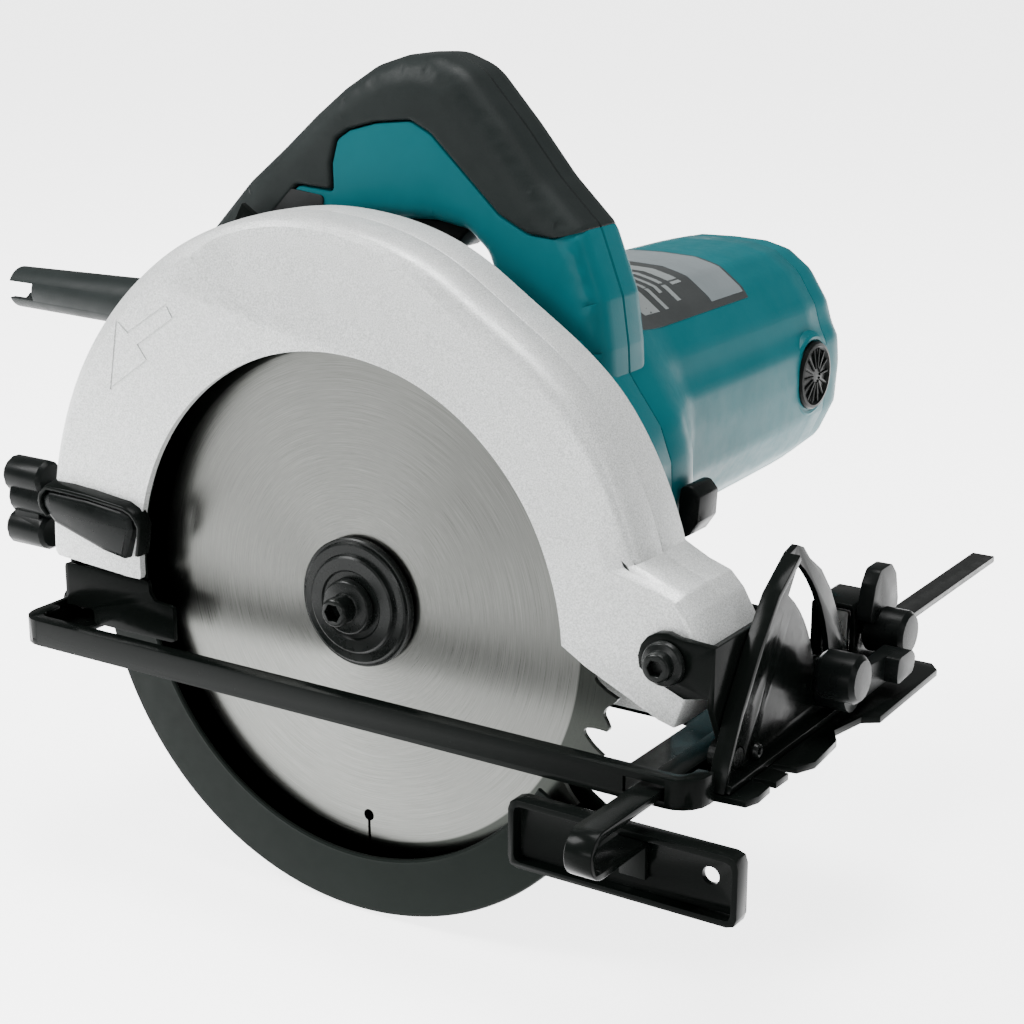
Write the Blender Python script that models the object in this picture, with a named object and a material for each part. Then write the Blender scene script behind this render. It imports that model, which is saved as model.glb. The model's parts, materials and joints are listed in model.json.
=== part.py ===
# Portable circular saw, 185 mm blade, D-handle sidewinder with a bevelling,
# depth-adjusting base and a rip fence.
#
# Design frame ("saw frame", millimetres): the arbor axis is the line x = 0, z = 0 along Y,
# the blade's outer face is the plane y = 0, +X is the cutting direction, +Y runs towards the
# motor, +Z is up.  The world frame is metres, shifted so that the sole of the base is z = 0
# and the middle of the main sole plate is y = 0.

import bpy
import bmesh
import math
from mathutils import Vector, Matrix

# ------------------------------------------------------------------ driving dimensions (mm)
BLADE_R = 92.5            # 185 mm blade, tip radius
BLADE_T = 1.8             # plate thickness
TEETH = 30                # teeth of the blade, each with a raised limiter behind its gullet
ARBOR_H = 27.0            # arbor above the sole at full depth
SOLE_T = 2.0              # pressed steel sheet
BASE_X0, BASE_X1 = -118.0, 139.0
BASE_Y0, BASE_Y1 = -31.0, 107.5
SLOT_X0, SLOT_X1 = -104.0, 103.6   # blade opening in the base
SLOT_Y0, SLOT_Y1 = -17.5, 24.5
DEPTH_PIV = (115.0, 8.0)  # x, z of the depth pivot (axis Y)
BEVEL_PIV = (-4.0, -20.0)  # y, z of the bevel pivot (axis X)
MOTOR = (24.0, 46.0)      # x, z of the armature axis (axis Y)
GUARD_RO, GUARD_RI = 101.0, 82.0   # lower guard rim and inner edge
CASE_FACE_Y = -12.0       # outer face of the blade case
CASE_BACK_Y = 20.0        # motor-side face of the blade case
CASE_OPEN_R = 80.0        # open circle in the case's face
FENCE_Y = -35.0           # plane of the rip fence plate
GEAR_N, IDLER_N, PINION_N = 40, 27, 10
GEAR_M = 1.0              # module
HANDLE_MID = 45.0         # parting plane of the D-handle
GAP = 0.3                 # working gap between neighbouring pieces

OX, OY, OZ = 0.0, -40.0, ARBOR_H

# ------------------------------------------------------------------ clean start
for ob in list(bpy.data.objects):
    bpy.data.objects.remove(ob, do_unlink=True)
for me in list(bpy.data.meshes):
    bpy.data.meshes.remove(me)

COL = bpy.context.scene.collection


def W(x, y, z):
    """Saw-frame millimetres to world metres."""
    return Vector(((x + OX) * 0.001, (y + OY) * 0.001, (z + OZ) * 0.001))


# ------------------------------------------------------------------ materials
def material(name, rgb, rough, metal):
    m = bpy.data.materials.new(name)
    m.use_nodes = True
    b = m.node_tree.nodes["Principled BSDF"]
    b.inputs["Base Color"].default_value = (rgb[0], rgb[1], rgb[2], 1.0)
    b.inputs["Roughness"].default_value = rough
    b.inputs["Metallic"].default_value = metal
    m.diffuse_color = (rgb[0], rgb[1], rgb[2], 1.0)
    return m


MAT = {
    "teal": material("teal_plastic", (0.0, 0.26, 0.30), 0.38, 0.0),
    "grip": material("grip_rubber", (0.045, 0.05, 0.048), 0.6, 0.0),
    "alu": material("cast_aluminium", (0.70, 0.71, 0.70), 0.45, 0.9),
    "blade": material("blade_steel", (0.55, 0.55, 0.53), 0.3, 1.0),
    "guard": material("guard_paint", (0.025, 0.03, 0.028), 0.45, 0.1),
    "black": material("black_paint", (0.012, 0.014, 0.013), 0.28, 0.1),
    "oxide": material("black_oxide", (0.03, 0.032, 0.03), 0.4, 0.7),
    "steel": material("bright_steel", (0.6, 0.6, 0.6), 0.3, 1.0),
    "nylon": material("black_nylon", (0.02, 0.022, 0.022), 0.5, 0.0),
    "copper": material("copper", (0.6, 0.28, 0.12), 0.35, 1.0),
    "label": material("label_grey", (0.13, 0.14, 0.14), 0.45, 0.0),
    "carbon": material("carbon", (0.02, 0.02, 0.02), 0.7, 0.0),
}


# ------------------------------------------------------------------ mesh helpers
def new_obj(name, verts, faces):
    me = bpy.data.meshes.new(name)
    me.from_pydata([W(*v) for v in verts], [], faces)
    me.validate()
    bm = bmesh.new()
    bm.from_mesh(me)
    bmesh.ops.remove_doubles(bm, verts=bm.verts, dist=1e-6)
    bmesh.ops.recalc_face_normals(bm, faces=bm.faces)
    if bm.calc_volume(signed=True) < 0:
        bmesh.ops.reverse_faces(bm, faces=bm.faces)
    bm.to_mesh(me)
    bm.free()
    ob = bpy.data.objects.new(name, me)
    COL.objects.link(ob)
    return ob


def put(axis, a, b, h):
    """Point (a, b) in the plane across `axis`, at height h along it."""
    if axis == "x":
        return (h, a, b)
    if axis == "y":
        return (a, h, b)
    return (a, b, h)


def prism(name, axis, poly, h0, h1):
    """Closed polygon extruded along an axis: (y,z) for x, (x,z) for y, (x,y) for z."""
    n = len(poly)
    vs = [put(axis, a, b, h0) for a, b in poly] + [put(axis, a, b, h1) for a, b in poly]
    fs = [list(range(n))[::-1], [n + i for i in range(n)]]
    fs += [[i, (i + 1) % n, n + (i + 1) % n, n + i] for i in range(n)]
    return new_obj(name, vs, fs)


def loft(name, axis, rings, heights):
    """Rings with equal point counts, one above the other, closed at both ends."""
    n = len(rings[0])
    vs, fs = [], []
    for r, h in zip(rings, heights):
        vs += [put(axis, a, b, h) for a, b in r]
    for k in range(len(rings) - 1):
        for i in range(n):
            j = (i + 1) % n
            fs.append([k * n + i, k * n + j, (k + 1) * n + j, (k + 1) * n + i])
    fs.append(list(range(n))[::-1])
    fs.append([(len(rings) - 1) * n + i for i in range(n)])
    return new_obj(name, vs, fs)


def lathe(name, axis, centre, profile, seg=24, phase=0.0):
    """Closed profile [(along, radius)...] turned about `axis` through `centre`."""
    rings = []
    vs, fs = [], []
    for al, r in profile:
        if r <= 1e-9:
            rings.append([len(vs)])
            vs.append(put(axis, centre[0], centre[1], al))
        else:
            idx = []
            for i in range(seg):
                t = 2 * math.pi * (i + phase) / seg
                idx.append(len(vs))
                vs.append(put(axis, centre[0] + r * math.cos(t), centre[1] + r * math.sin(t), al))
            rings.append(idx)
    m = len(rings)
    for k in range(m):
        a, b = rings[k], rings[(k + 1) % m]
        if len(a) == 1 and len(b) == 1:
            continue
        for i in range(seg):
            j = (i + 1) % seg
            if len(a) == 1:
                fs.append([a[0], b[j], b[i]])
            elif len(b) == 1:
                fs.append([a[i], a[j], b[0]])
            else:
                fs.append([a[i], a[j], b[j], b[i]])
    return new_obj(name, vs, fs)


def box(name, x0, x1, y0, y1, z0, z1):
    return prism(name, "z", [(x0, y0), (x1, y0), (x1, y1), (x0, y1)], z0, z1)


def sweep(name, path, half_w, half_t, seg_up=None):
    """Rectangular bar along a path in the YZ plane at constant width in X.
    path: [(x, y, z)...] centre line; the section is half_w in X and half_t across it."""
    vs, fs = [], []
    m = len(path)
    for k, (x, y, z) in enumerate(path):
        a = path[max(k - 1, 0)]
        b = path[min(k + 1, m - 1)]
        ty, tz = b[1] - a[1], b[2] - a[2]
        L = math.hypot(ty, tz)
        ny, nz = -tz / L, ty / L
        for sx, sn in ((-1, -1), (1, -1), (1, 1), (-1, 1)):
            vs.append((x + sx * half_w, y + sn * half_t * ny, z + sn * half_t * nz))
    for k in range(m - 1):
        for i in range(4):
            j = (i + 1) % 4
            fs.append([k * 4 + i, k * 4 + j, k * 4 + 4 + j, k * 4 + 4 + i])
    fs.append([3, 2, 1, 0])
    fs.append([(m - 1) * 4 + i for i in range(4)])
    return new_obj(name, vs, fs)


def apply_bool(ob, other, op):
    md = ob.modifiers.new("bool", "BOOLEAN")
    md.operation = op
    md.solver = "EXACT"
    md.object = other
    dg = bpy.context.evaluated_depsgraph_get()
    ev = ob.evaluated_get(dg)
    me = bpy.data.meshes.new_from_object(ev, depsgraph=dg)
    ob.modifiers.clear()
    old = ob.data
    ob.data = me
    bpy.data.meshes.remove(old)
    om = other.data
    bpy.data.objects.remove(other, do_unlink=True)
    bpy.data.meshes.remove(om)
    return ob


def cut(ob, *others):
    for o in others:
        apply_bool(ob, o, "DIFFERENCE")
    return ob


def join(ob, *others):
    for o in others:
        apply_bool(ob, o, "UNION")
    return ob


def tidy(ob):
    bm = bmesh.new()
    bm.from_mesh(ob.data)
    bmesh.ops.remove_doubles(bm, verts=bm.verts, dist=2e-6)
    bmesh.ops.dissolve_degenerate(bm, edges=bm.edges, dist=2e-6)
    bmesh.ops.dissolve_limit(bm, angle_limit=math.radians(0.3), verts=bm.verts, edges=bm.edges)
    bmesh.ops.triangulate(bm, faces=bm.faces, ngon_method="EAR_CLIP")
    bm.to_mesh(ob.data)
    bm.free()


def bevel(ob, width_mm, segments=1, angle=50):
    md = ob.modifiers.new("bevel", "BEVEL")
    md.width = width_mm * 0.001
    md.segments = segments
    md.limit_method = "ANGLE"
    md.angle_limit = math.radians(angle)
    dg = bpy.context.evaluated_depsgraph_get()
    me = bpy.data.meshes.new_from_object(ob.evaluated_get(dg), depsgraph=dg)
    ob.modifiers.clear()
    old = ob.data
    ob.data = me
    bpy.data.meshes.remove(old)
    return ob


def arc(cx, cz, r, a0, a1, n):
    """n + 1 points on an arc, degrees."""
    return [(cx + r * math.cos(math.radians(a0 + (a1 - a0) * i / n)),
             cz + r * math.sin(math.radians(a0 + (a1 - a0) * i / n))) for i in range(n + 1)]


def rounded(poly, r, n=3):
    """Rounds the convex and concave corners of a polygon by radius r."""
    out = []
    m = len(poly)
    for i in range(m):
        p0, p, p1 = Vector(poly[i - 1]), Vector(poly[i]), Vector(poly[(i + 1) % m])
        a, b = (p0 - p), (p1 - p)
        la, lb = a.length, b.length
        a.normalize()
        b.normalize()
        ang = a.angle(b)
        if ang > math.radians(172):
            out.append((p.x, p.y))
            continue
        d = min(r / math.tan(ang / 2), 0.45 * la, 0.45 * lb)
        s, e = p + a * d, p + b * d
        for k in range(n + 1):
            t = k / n
            q = s * (1 - t) * (1 - t) + p * 2 * t * (1 - t) + e * t * t
            out.append((q.x, q.y))
    return out


def polar(r, deg, c=(0.0, 0.0)):
    return (c[0] + r * math.cos(math.radians(deg)), c[1] + r * math.sin(math.radians(deg)))


def lerp(table, x):
    if x <= table[0][0]:
        return table[0][1]
    for (a, va), (b, vb) in zip(table, table[1:]):
        if x <= b:
            t = (x - a) / (b - a)
            return va + (vb - va) * t
    return table[-1][1]


EMPTIES = {}
NODES = {}


def joint_empty(name, x, y, z, parent=None):
    e = bpy.data.objects.new(name, None)
    COL.objects.link(e)
    e.empty_display_size = 0.01
    p = W(x, y, z)
    if parent is not None:
        e.parent = EMPTIES[parent]
        e.location = p - EMPTIES[parent].matrix_world.translation
    else:
        e.location = p
    bpy.context.view_layer.update()
    EMPTIES[name] = e
    return e


def finish(ob, name, mat, body, smooth=30):
    """Names the piece, puts its origin on its body's joint axis and parents it there."""
    tidy(ob)
    ob.name = name
    ob.data.name = name
    e = EMPTIES[body]
    o = e.matrix_world.translation.copy()
    ob.data.transform(Matrix.Translation(-o))
    ob.parent = e
    ob.location = (0, 0, 0)
    ob.data.materials.clear()
    ob.data.materials.append(MAT[mat])
    ob.data.shade_smooth()
    ob.data.set_sharp_from_angle(angle=math.radians(smooth))
    NODES[name] = ob
    return ob


# ------------------------------------------------------------------ joint frames
PX, PZ = DEPTH_PIV
BY, BZ = BEVEL_PIV
MX, MZ = MOTOR
joint_empty("frame_base", 0, 40, -27)
joint_empty("axis_bevel", 0, BY, BZ, "frame_base")
joint_empty("axis_depth", PX, 0, PZ, "axis_bevel")
joint_empty("axis_blade", 0, 0, 0, "axis_depth")
joint_empty("axis_lower_guard", 0, 0, 0, "axis_depth")
joint_empty("axis_motor", MX, 0, MZ, "axis_depth")
joint_empty("axis_trigger", 0, 45, 112, "axis_depth")
joint_empty("axis_lock_button", -8, 60, 132, "axis_depth")
joint_empty("axis_shaft_lock", 79, 56, 28, "axis_depth")
joint_empty("axis_depth_knob", -130, 2, 11, "axis_depth")
joint_empty("axis_bevel_lever", 135, 49.3, -15.3, "axis_bevel")
joint_empty("axis_fence", 116.5, 60, -23.5, "frame_base")
joint_empty("axis_fence_screw", 130, 96, -12.5, "frame_base")

# ================================================================== BASE
# Sole outline with rounded corners, the two sight notches in the front lip and the wide lip
# on the motor side.
outline = ([(-109.0, BASE_Y0), (124.5, BASE_Y0)] + arc(124.5, -22.0, 9.0, -75, 0, 4) +
           [(133.5, -19.5), (142.6, -18.6), (144.2, -14.0), (143.8, -6.2), (137.2, -5.4), (137.2, -3.4),
            (143.9, -2.6), (144.1, 4.6), (137.6, 5.4), (137.6, 8.2), (144.2, 9.6), (146.9, 15.8),
            (145.4, 33.4), (141.6, 40.0), (144.0, 53.6), (148.6, 57.0), (147.6, 103.0), (144.0, BASE_Y1)] +
           [(-110.0, BASE_Y1), (-118.0, 99.5), (-118.0, -22.0)] + arc(-109.0, -22.0, 9.0, -165, -105, 3))
base = prism("base", "z", outline, -27.0, -25.0)
slot = rounded([(SLOT_X0, SLOT_Y0), (SLOT_X1, SLOT_Y0), (SLOT_X1, SLOT_Y1), (SLOT_X0, SLOT_Y1)], 5.0, 2)
cut(base, prism("c", "z", slot, -30, -20))


def rail_path(off):
    """Plan of the right-hand rail, offset inwards by off."""
    r = 9.0 - off
    return (arc(124.5, -22.0, r, 0, -90, 5) + arc(-109.0, -22.0, r, -90, -180, 5))


def band(path_a, path_b):
    return path_a + path_b[::-1]


rail = prism("rail", "z", [(133.5, -19.5)] + rail_path(0.0) + [(-118.0, 14.0)] +
             [(-116.4, 14.0)] + rail_path(1.6)[::-1] + [(131.9, -19.5)], -26.0, -18.5)
lip = prism("lip", "z", [(133.5, -19.5)] + rail_path(0.0) + [(-118.0, -16.0)] +
            [(-113.0, -16.0)] + rail_path(5.0)[::-1] + [(128.5, -19.5)], -20.1, -18.5)
join(base, rail, lip)
cut(base, box("c", 111.4, 124.4, -33, -28, -25.0, -20.4))           # fence window in the rail
# low flange round the motor-side edge, stopping short of the fence bar
flange = prism("fl", "z", [(-118.0, 30.0), (-116.4, 30.0), (-116.4, 98.8), (-109.4, 105.9), (100.0, 105.9),
                           (100.0, 107.5), (-110.0, 107.5), (-118.0, 99.5)], -26.0, -20.5)
join(base, flange)
# upright ear at the rear for the bevel pivot
ear = prism("ear", "x", [(-18.0, -26.0), (12.0, -26.0), (12.0, -20.0), (8.0, -15.0), (6.5, -3.0), (-4.6, -3.0), (-5.4, -15.0),
                         (-7.0, -19.5), (-11.0, -21.6), (-18.0, -22.4)], -118.0, -116.0)
join(base, ear)
cut(base, lathe("c", "x", (BY, BZ), [(-121, 0), (-121, 2.5), (-113, 2.5), (-113, 0)], 16))
finish(base, "base_plate", "black", "frame_base")

# bevel quadrant: upright plate with an arc slot about the bevel axis, folded foot and left rib
q_out = ([(-19.0, -24.7), (74.0, -24.7), (73.0, -19.0)] +
         [polar(68.5, 12, BEVEL_PIV), polar(66.6, 22, BEVEL_PIV), polar(65.6, 31, BEVEL_PIV),
          polar(64.6, 40, BEVEL_PIV), polar(62.6, 49, BEVEL_PIV)] +
         [(32.8, 31.6), (28.5, 33.4), (23.6, 32.2), (10.8, 23.9), (-0.2, 10.5), (-9.9, -4.1), (-16.4, -17.0)])
quad = prism("quad", "x", q_out, 131.0, 133.0)
foot = prism("foot", "x", [(-18.0, -24.7), (73.0, -24.7), (73.0, -22.7), (-17.0, -22.7)], 131.5, 137.5)
rib = prism("rib", "x", [(-19.0, -24.7), (-16.4, -17.0), (-9.9, -4.1), (-0.2, 10.5), (10.8, 23.9), (23.6, 32.2),
                         (24.6, 30.3), (12.2, 22.2), (1.6, 9.2), (-8.1, -5.2), (-14.6, -17.8), (-17.2, -24.7)],
            132.0, 136.2)
join(quad, foot, rib)
SLOT_R = 53.5
slot_poly = (arc(BY, BZ, SLOT_R + 5.0, 0.5, 54.8, 9) + arc(BY, BZ, SLOT_R - 5.0, 54.8, 0.5, 9))
cut(quad, prism("c", "x", slot_poly, 129, 135))
cut(quad, lathe("c", "x", (BY, BZ), [(129, 0), (129, 3.3), (135, 3.3), (135, 0)], 16))
cut(quad, lathe("c", "x", (4.6, -20.6), [(129, 0), (129, 1.9), (135, 1.9), (135, 0)], 12))
finish(quad, "bevel_quadrant", "black", "frame_base")

finish(lathe("r", "x", (4.6, -20.6), [(131.2, 0), (131.2, 1.5), (133.3, 1.5), (133.3, 2.0), (134.3, 1.9),
                                      (135.2, 1.2), (135.2, 0)], 12), "quadrant_rivet", "oxide", "frame_base")
finish(lathe("r", "x", (BY, BZ), [(125.2, 0), (125.2, 4.2), (127.2, 4.2), (127.2, 3.0), (132.8, 3.0), (132.8, 0)], 16),
       "bevel_pivot_pin_front", "oxide", "frame_base")
finish(lathe("r", "x", (BY, BZ), [(-119.8, 0), (-119.8, 3.6), (-118.3, 3.9), (-118.3, 2.1), (-112.4, 2.1),
                                  (-112.4, 0)], 16), "bevel_pivot_pin_rear", "oxide", "frame_base")

# fence clamp: an arched saddle over the bar, the shoe that the screw pushes, and the screw
arch = prism("arch", "y", [(110.9, -24.7), (112.7, -24.7), (112.7, -5.2), (124.2, -5.2), (124.2, -24.7), (126.0, -24.7),
                           (126.0, -4.6), (124.6, -3.3), (112.3, -3.3), (110.9, -4.6)], 87.0, 105.0)
cut(arch, lathe("c", "x", (96.0, -12.5), [(120, 0), (120, 3.1), (128, 3.1), (128, 0)], 16))
finish(arch, "fence_clamp_arch", "black", "frame_base")
finish(box("shoe", 113.2, 122.6, 90.0, 102.0, -22.0, -6.5), "fence_clamp_shoe", "steel", "frame_base")

hub = lathe("hub", "x", (96.0, -12.5), [(122.9, 0), (122.9, 2.6), (126.8, 2.6), (126.8, 6.0), (128.0, 7.4),
                                        (139.5, 7.4), (141.0, 6.2), (141.0, 0)], 20)
fin = prism("fin", "x", rounded([(84.6, -8.0), (107.0, -8.0), (104.0, 4.0), (100.0, 8.2), (91.5, 8.2), (88.0, 4.0)], 2.5, 2),
            127.0, 132.0)
join(hub, fin)
finish(hub, "fence_screw", "nylon", "axis_fence_screw")

# ================================================================== RIP FENCE (slides along Y)
BAR_X, BAR_Z, FOLD_R = 119.0, -23.5, 5.65
hook = [(BAR_X, 216.0, BAR_Z), (BAR_X, -58.0, BAR_Z)]
hook += [(BAR_X, -60.5 - FOLD_R * math.sin(math.radians(t)), BAR_Z - FOLD_R + FOLD_R * math.cos(math.radians(t)))
         for t in range(0, 181, 15)]
hook += [(BAR_X, FENCE_Y - 2.4, BAR_Z - 2 * FOLD_R)]
bar = sweep("bar", hook, 4.2, 1.2)
join(bar, box("tab", BAR_X - 4.2, BAR_X + 4.2, FENCE_Y - 3.6, FENCE_Y - 1.3, -45.6, -34.6))
finish(bar, "fence_bar", "black", "axis_fence")

tray = [(80.0, -51.8), (151.6, -51.8), (151.6, -31.4), (80.0, -31.4)]
tray_in = [(81.8, -50.0), (149.8, -50.0), (149.8, -33.2), (81.8, -33.2)]
plate = prism("plate", "y", rounded(tray, 3.0, 2), FENCE_Y - 0.9, FENCE_Y + 1.0)
rim = prism("rim", "y", rounded(tray, 3.0, 2), FENCE_Y - 5.0, FENCE_Y - 0.2)
cut(rim, prism("c", "y", rounded(tray_in, 2.0, 2), -58, -30))
join(plate, rim)
cut(plate, lathe("c", "y", (141.6, -40.2), [(-60, 0), (-60, 2.6), (-28, 2.6), (-28, 0)], 16))
finish(plate, "fence_plate", "black", "axis_fence")

# ================================================================== BEVEL FRAME (tilts with the saw)
web_poly = ([polar(4.6, 180, BEVEL_PIV), polar(4.6, 210, BEVEL_PIV), polar(4.6, 240, BEVEL_PIV), polar(4.6, 270, BEVEL_PIV),
             (52.0, -24.4), (56.2, -21.0), (57.4, -15.0), (55.0, -9.0), (50.0, -7.0), (27.0, -2.0), (27.0, 15.0),
             (-15.0, 15.0), (-15.0, -3.0), (-9.4, -14.0)])
web = prism("web", "x", web_poly, 128.4, 130.4)


def ear_poly(zb):
    return ([(130.0, zb), (130.0, 15.0)] + arc(PX, PZ, 8.6, 62, 200, 6) + [(112.0, zb + 1.5), (121.0, zb - 2.0)])


leg_r = prism("leg", "y", ear_poly(0.5), -15.0, -12.6)
leg_l = prism("leg", "y", ear_poly(0.5), 20.6, 23.0)
join(web, leg_r, leg_l)
cut(web, lathe("c", "y", (PX, PZ), [(-20, 0), (-20, 3.3), (30, 3.3), (30, 0)], 16))
cut(web, lathe("c", "x", (BY, BZ), [(126, 0), (126, 3.3), (133, 3.3), (133, 0)], 16))
cut(web, lathe("c", "x", (49.3, -15.3), [(126, 0), (126, 3.3), (133, 3.3), (133, 0)], 16))
finish(web, "front_bracket", "black", "axis_bevel")

b = lathe("b", "y", (PX, PZ), [(-21.0, 0), (-21.0, 4.0), (-17.6, 4.4), (-17.0, 6.3), (-15.3, 6.6), (-15.3, 3.0),
                               (27.4, 3.0), (27.4, 0)], 16)
cut(b, lathe("c", "y", (PX, PZ), [(-22, 0), (-22, 2.4), (-18.4, 2.4), (-18.4, 0)], 6))
finish(b, "depth_pivot_bolt", "oxide", "axis_bevel")
nut = lathe("n", "y", (PX, PZ), [(23.3, 0), (23.3, 6.4), (27.0, 6.4), (27.0, 0)], 6)
cut(nut, lathe("c", "y", (PX, PZ), [(20, 0), (20, 3.3), (30, 3.3), (30, 0)], 16))
finish(nut, "depth_pivot_nut", "oxide", "axis_bevel")
finish(lathe("b", "x", (49.3, -15.3), [(124.6, 0), (124.6, 5.4), (128.1, 5.4), (128.1, 3.0), (143.2, 3.0), (143.2, 0)], 16),
       "bevel_clamp_bolt", "oxide", "axis_bevel")

# depth guide: folded bracket on the rear bevel pivot; its long leg is an arc about the depth
# pivot, slotted for the clamp bolt
gr = prism("g", "x", [polar(4.6, 270, BEVEL_PIV), (25.4, -24.5), (25.4, -6.5), (-10.5, -6.5), (-10.5, -19.6),
                      polar(4.6, 210, BEVEL_PIV), polar(4.6, 240, BEVEL_PIV)], -115.2, -113.4)
leg1 = prism("g", "y", rounded([(-115.2, -19.4), (-103.2, -19.4), (-103.2, -24.3), (-68.0, -24.3), (-68.0, -12.2),
                                (-76.0, -11.6), (-78.0, -9.0), (-78.2, -5.0), (-115.2, -5.0)], 1.5, 2), -10.5, -8.9)
GUIDE_RO, GUIDE_RI, GUIDE_RS = 206.5, 193.5, 200.0
leg2 = prism("g", "y", [(-115.2, -24.5), (-77.5, -24.5)] +
             arc(PX, PZ, -GUIDE_RI, 6, -31.0, 9) + arc(PX, PZ, -GUIDE_RO, -31.0, 2.5, 9) +
             [(-92.5, -3.0), (-115.2, -6.5)], 23.7, 25.4)
join(gr, leg1, leg2)
cut(gr, prism("c", "y", arc(PX, PZ, -(GUIDE_RS - 2.7), 1.5, -29.6, 9) + arc(PX, PZ, -(GUIDE_RS + 2.7), -29.6, 1.5, 9),
              22, 27))
cut(gr, lathe("c", "x", (BY, BZ), [(-118, 0), (-118, 2.5), (-112, 2.5), (-112, 0)], 16))
finish(gr, "depth_guide", "black", "axis_bevel")

# bevel clamp lever: hub, short lobe and long thumb lever
hub = lathe("hub", "x", (49.3, -15.3), [(133.4, 3.3), (133.4, 6.6), (143.0, 6.6), (143.0, 3.3)], 16)
lobe = lathe("lobe", "x", (38.6, -7.2), [(137.6, 0), (137.6, 6.0), (139.2, 7.3), (149.0, 7.3), (150.4, 6.0), (150.4, 0)], 16)
arm1 = prism("arm", "x", [(38.0, -12.0), (48.0, -20.0), (53.0, -13.0), (42.0, -2.5)], 138.0, 142.6)
arm2 = prism("arm", "x", rounded([(48.0, -21.0), (80.0, -20.5), (85.5, -18.0), (84.5, -13.5), (78.0, -12.5), (60.0, -11.5),
                                  (50.0, -9.2)], 1.5, 2), 138.4, 142.6)
tip = prism("tip", "x", rounded([(72.0, -20.6), (84.5, -19.6), (86.0, -15.0), (83.0, -12.2), (73.0, -12.2)], 2.0, 2), 138.0, 147.0)
join(hub, arm1, lobe, arm2, tip)
cut(hub, lathe("c", "x", (49.3, -15.3), [(130, 0), (130, 3.3), (144, 3.3), (144, 0)], 16))
finish(hub, "bevel_clamp_lever", "nylon", "axis_bevel_lever")

# ================================================================== BLADE CASE (cast, open below)
R_OUT = [(4, 107.0), (9, 107.5), (23, 108.0), (42, 109.6), (54, 108.6), (61, 108.6), (66, 109.8), (74, 113.3),
         (83, 116.0), (93, 118.4), (103, 121.3), (120, 123.0), (150, 123.0), (180, 121.6), (186, 121.4)]
R_SH = [(6, 102.5), (20, 98.5), (34, 96.5), (50, 96.5), (60, 98.0), (66, 100.2), (74, 105.8), (84, 111.8),
        (93, 114.4), (103, 116.0), (120, 117.2), (180, 117.4)]
ths = [180.6, 172, 162, 152, 142, 132, 122, 113, 105, 98, 91, 84, 77, 70, 63, 56, 49, 42, 35, 28, 21, 16]


def case_ring(rt, nose_in, bottom):
    pts = [polar(lerp(rt, t), t) for t in ths]
    pts += [(112.5 - nose_in * 0.3, 28.2 - nose_in), (121.3 - nose_in, 24.0 - nose_in), (125.3 - nose_in, 16.2 - nose_in * 0.6),
            (127.2 - nose_in, 12.6 - nose_in * 0.3), (127.9 - nose_in, 8.0), (126.0 - nose_in, 1.5), (122.0 - nose_in, -3.0)]
    pts += [(117.4 - nose_in * 0.4, -12.0), (100.0, -22.6), (-83.0, -22.6), (-87.0, -4.2)]
    pts += [(-117.0 - (pts[0][0] + 121.6) * 0.0, -2.2)]
    return pts


mid = [(t, lerp(R_SH, t) + 0.72 * (lerp(R_OUT, t) - lerp(R_SH, t))) for t in sorted(ths)]
sh = [(t, lerp(R_SH, t)) for t in sorted(ths)]
inner = [(t, lerp(R_OUT, t) - 0.6) for t in sorted(ths)]


def fix_tail(pts, x):
    pts = list(pts)
    pts[-1] = (x, -2.4)
    return pts


rings = [fix_tail(case_ring(sh, 2.4, 0), -116.6), fix_tail(case_ring(mid, 0.8, 0), -119.8),
         fix_tail(case_ring(R_OUT, 0.0, 0), -121.0), fix_tail(case_ring(inner, 0.3, 0), -120.4)]
case = loft("case", "y", rings, [CASE_FACE_Y, -8.6, 5.0, CASE_BACK_Y])
# hollow for the blade and the retracted lower guard
hollow = ([(x, z) for x, z in [polar(lerp(R_OUT, t) - 3.0, t) for t in ths[1:-1]]] +
          [(103.6, 27.0), (103.4, -40.0), (-118.4, -40.0), (-118.4, 3.0)])
cut(case, prism("c", "y", hollow, -9.6, 17.4))
# open circle and lower edge of the outer face
face_cut = (arc(0, 0, CASE_OPEN_R, 3.6, 182.2, 32) + [(-80.5, -4.3), (-119.0, -4.4), (-119.0, -40.0), (125.0, -40.0), (117.6, -12.15)])
cut(case, prism("c", "y", face_cut, -16.0, -9.0))
# seat of the bearing retainer, depth pivot, depth clamp bolt, bumper
cut(case, lathe("c", "y", (0, 0), [(15, 0), (15, 24.6), (23, 24.6), (23, 0)], 32))
cut(case, lathe("c", "y", (PX, PZ), [(-14, 0), (-14, 3.3), (22, 3.3), (22, 0)], 16))
cut(case, lathe("c", "y", (PX - GUIDE_RS, PZ), [(15, 0), (15, 2.3), (22, 2.3), (22, 0)], 12))
finish(case, "blade_case", "alu", "axis_depth", 35)

# guard bumper: rubber peg with its stem in the case's back wall
stop = polar(91.0, 159.6)
finish(lathe("s", "y", stop, [(11.4, 0), (11.4, 3.0), (17.0, 3.2), (17.0, 0)], 12), "guard_bumper", "grip", "axis_depth")

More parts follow.
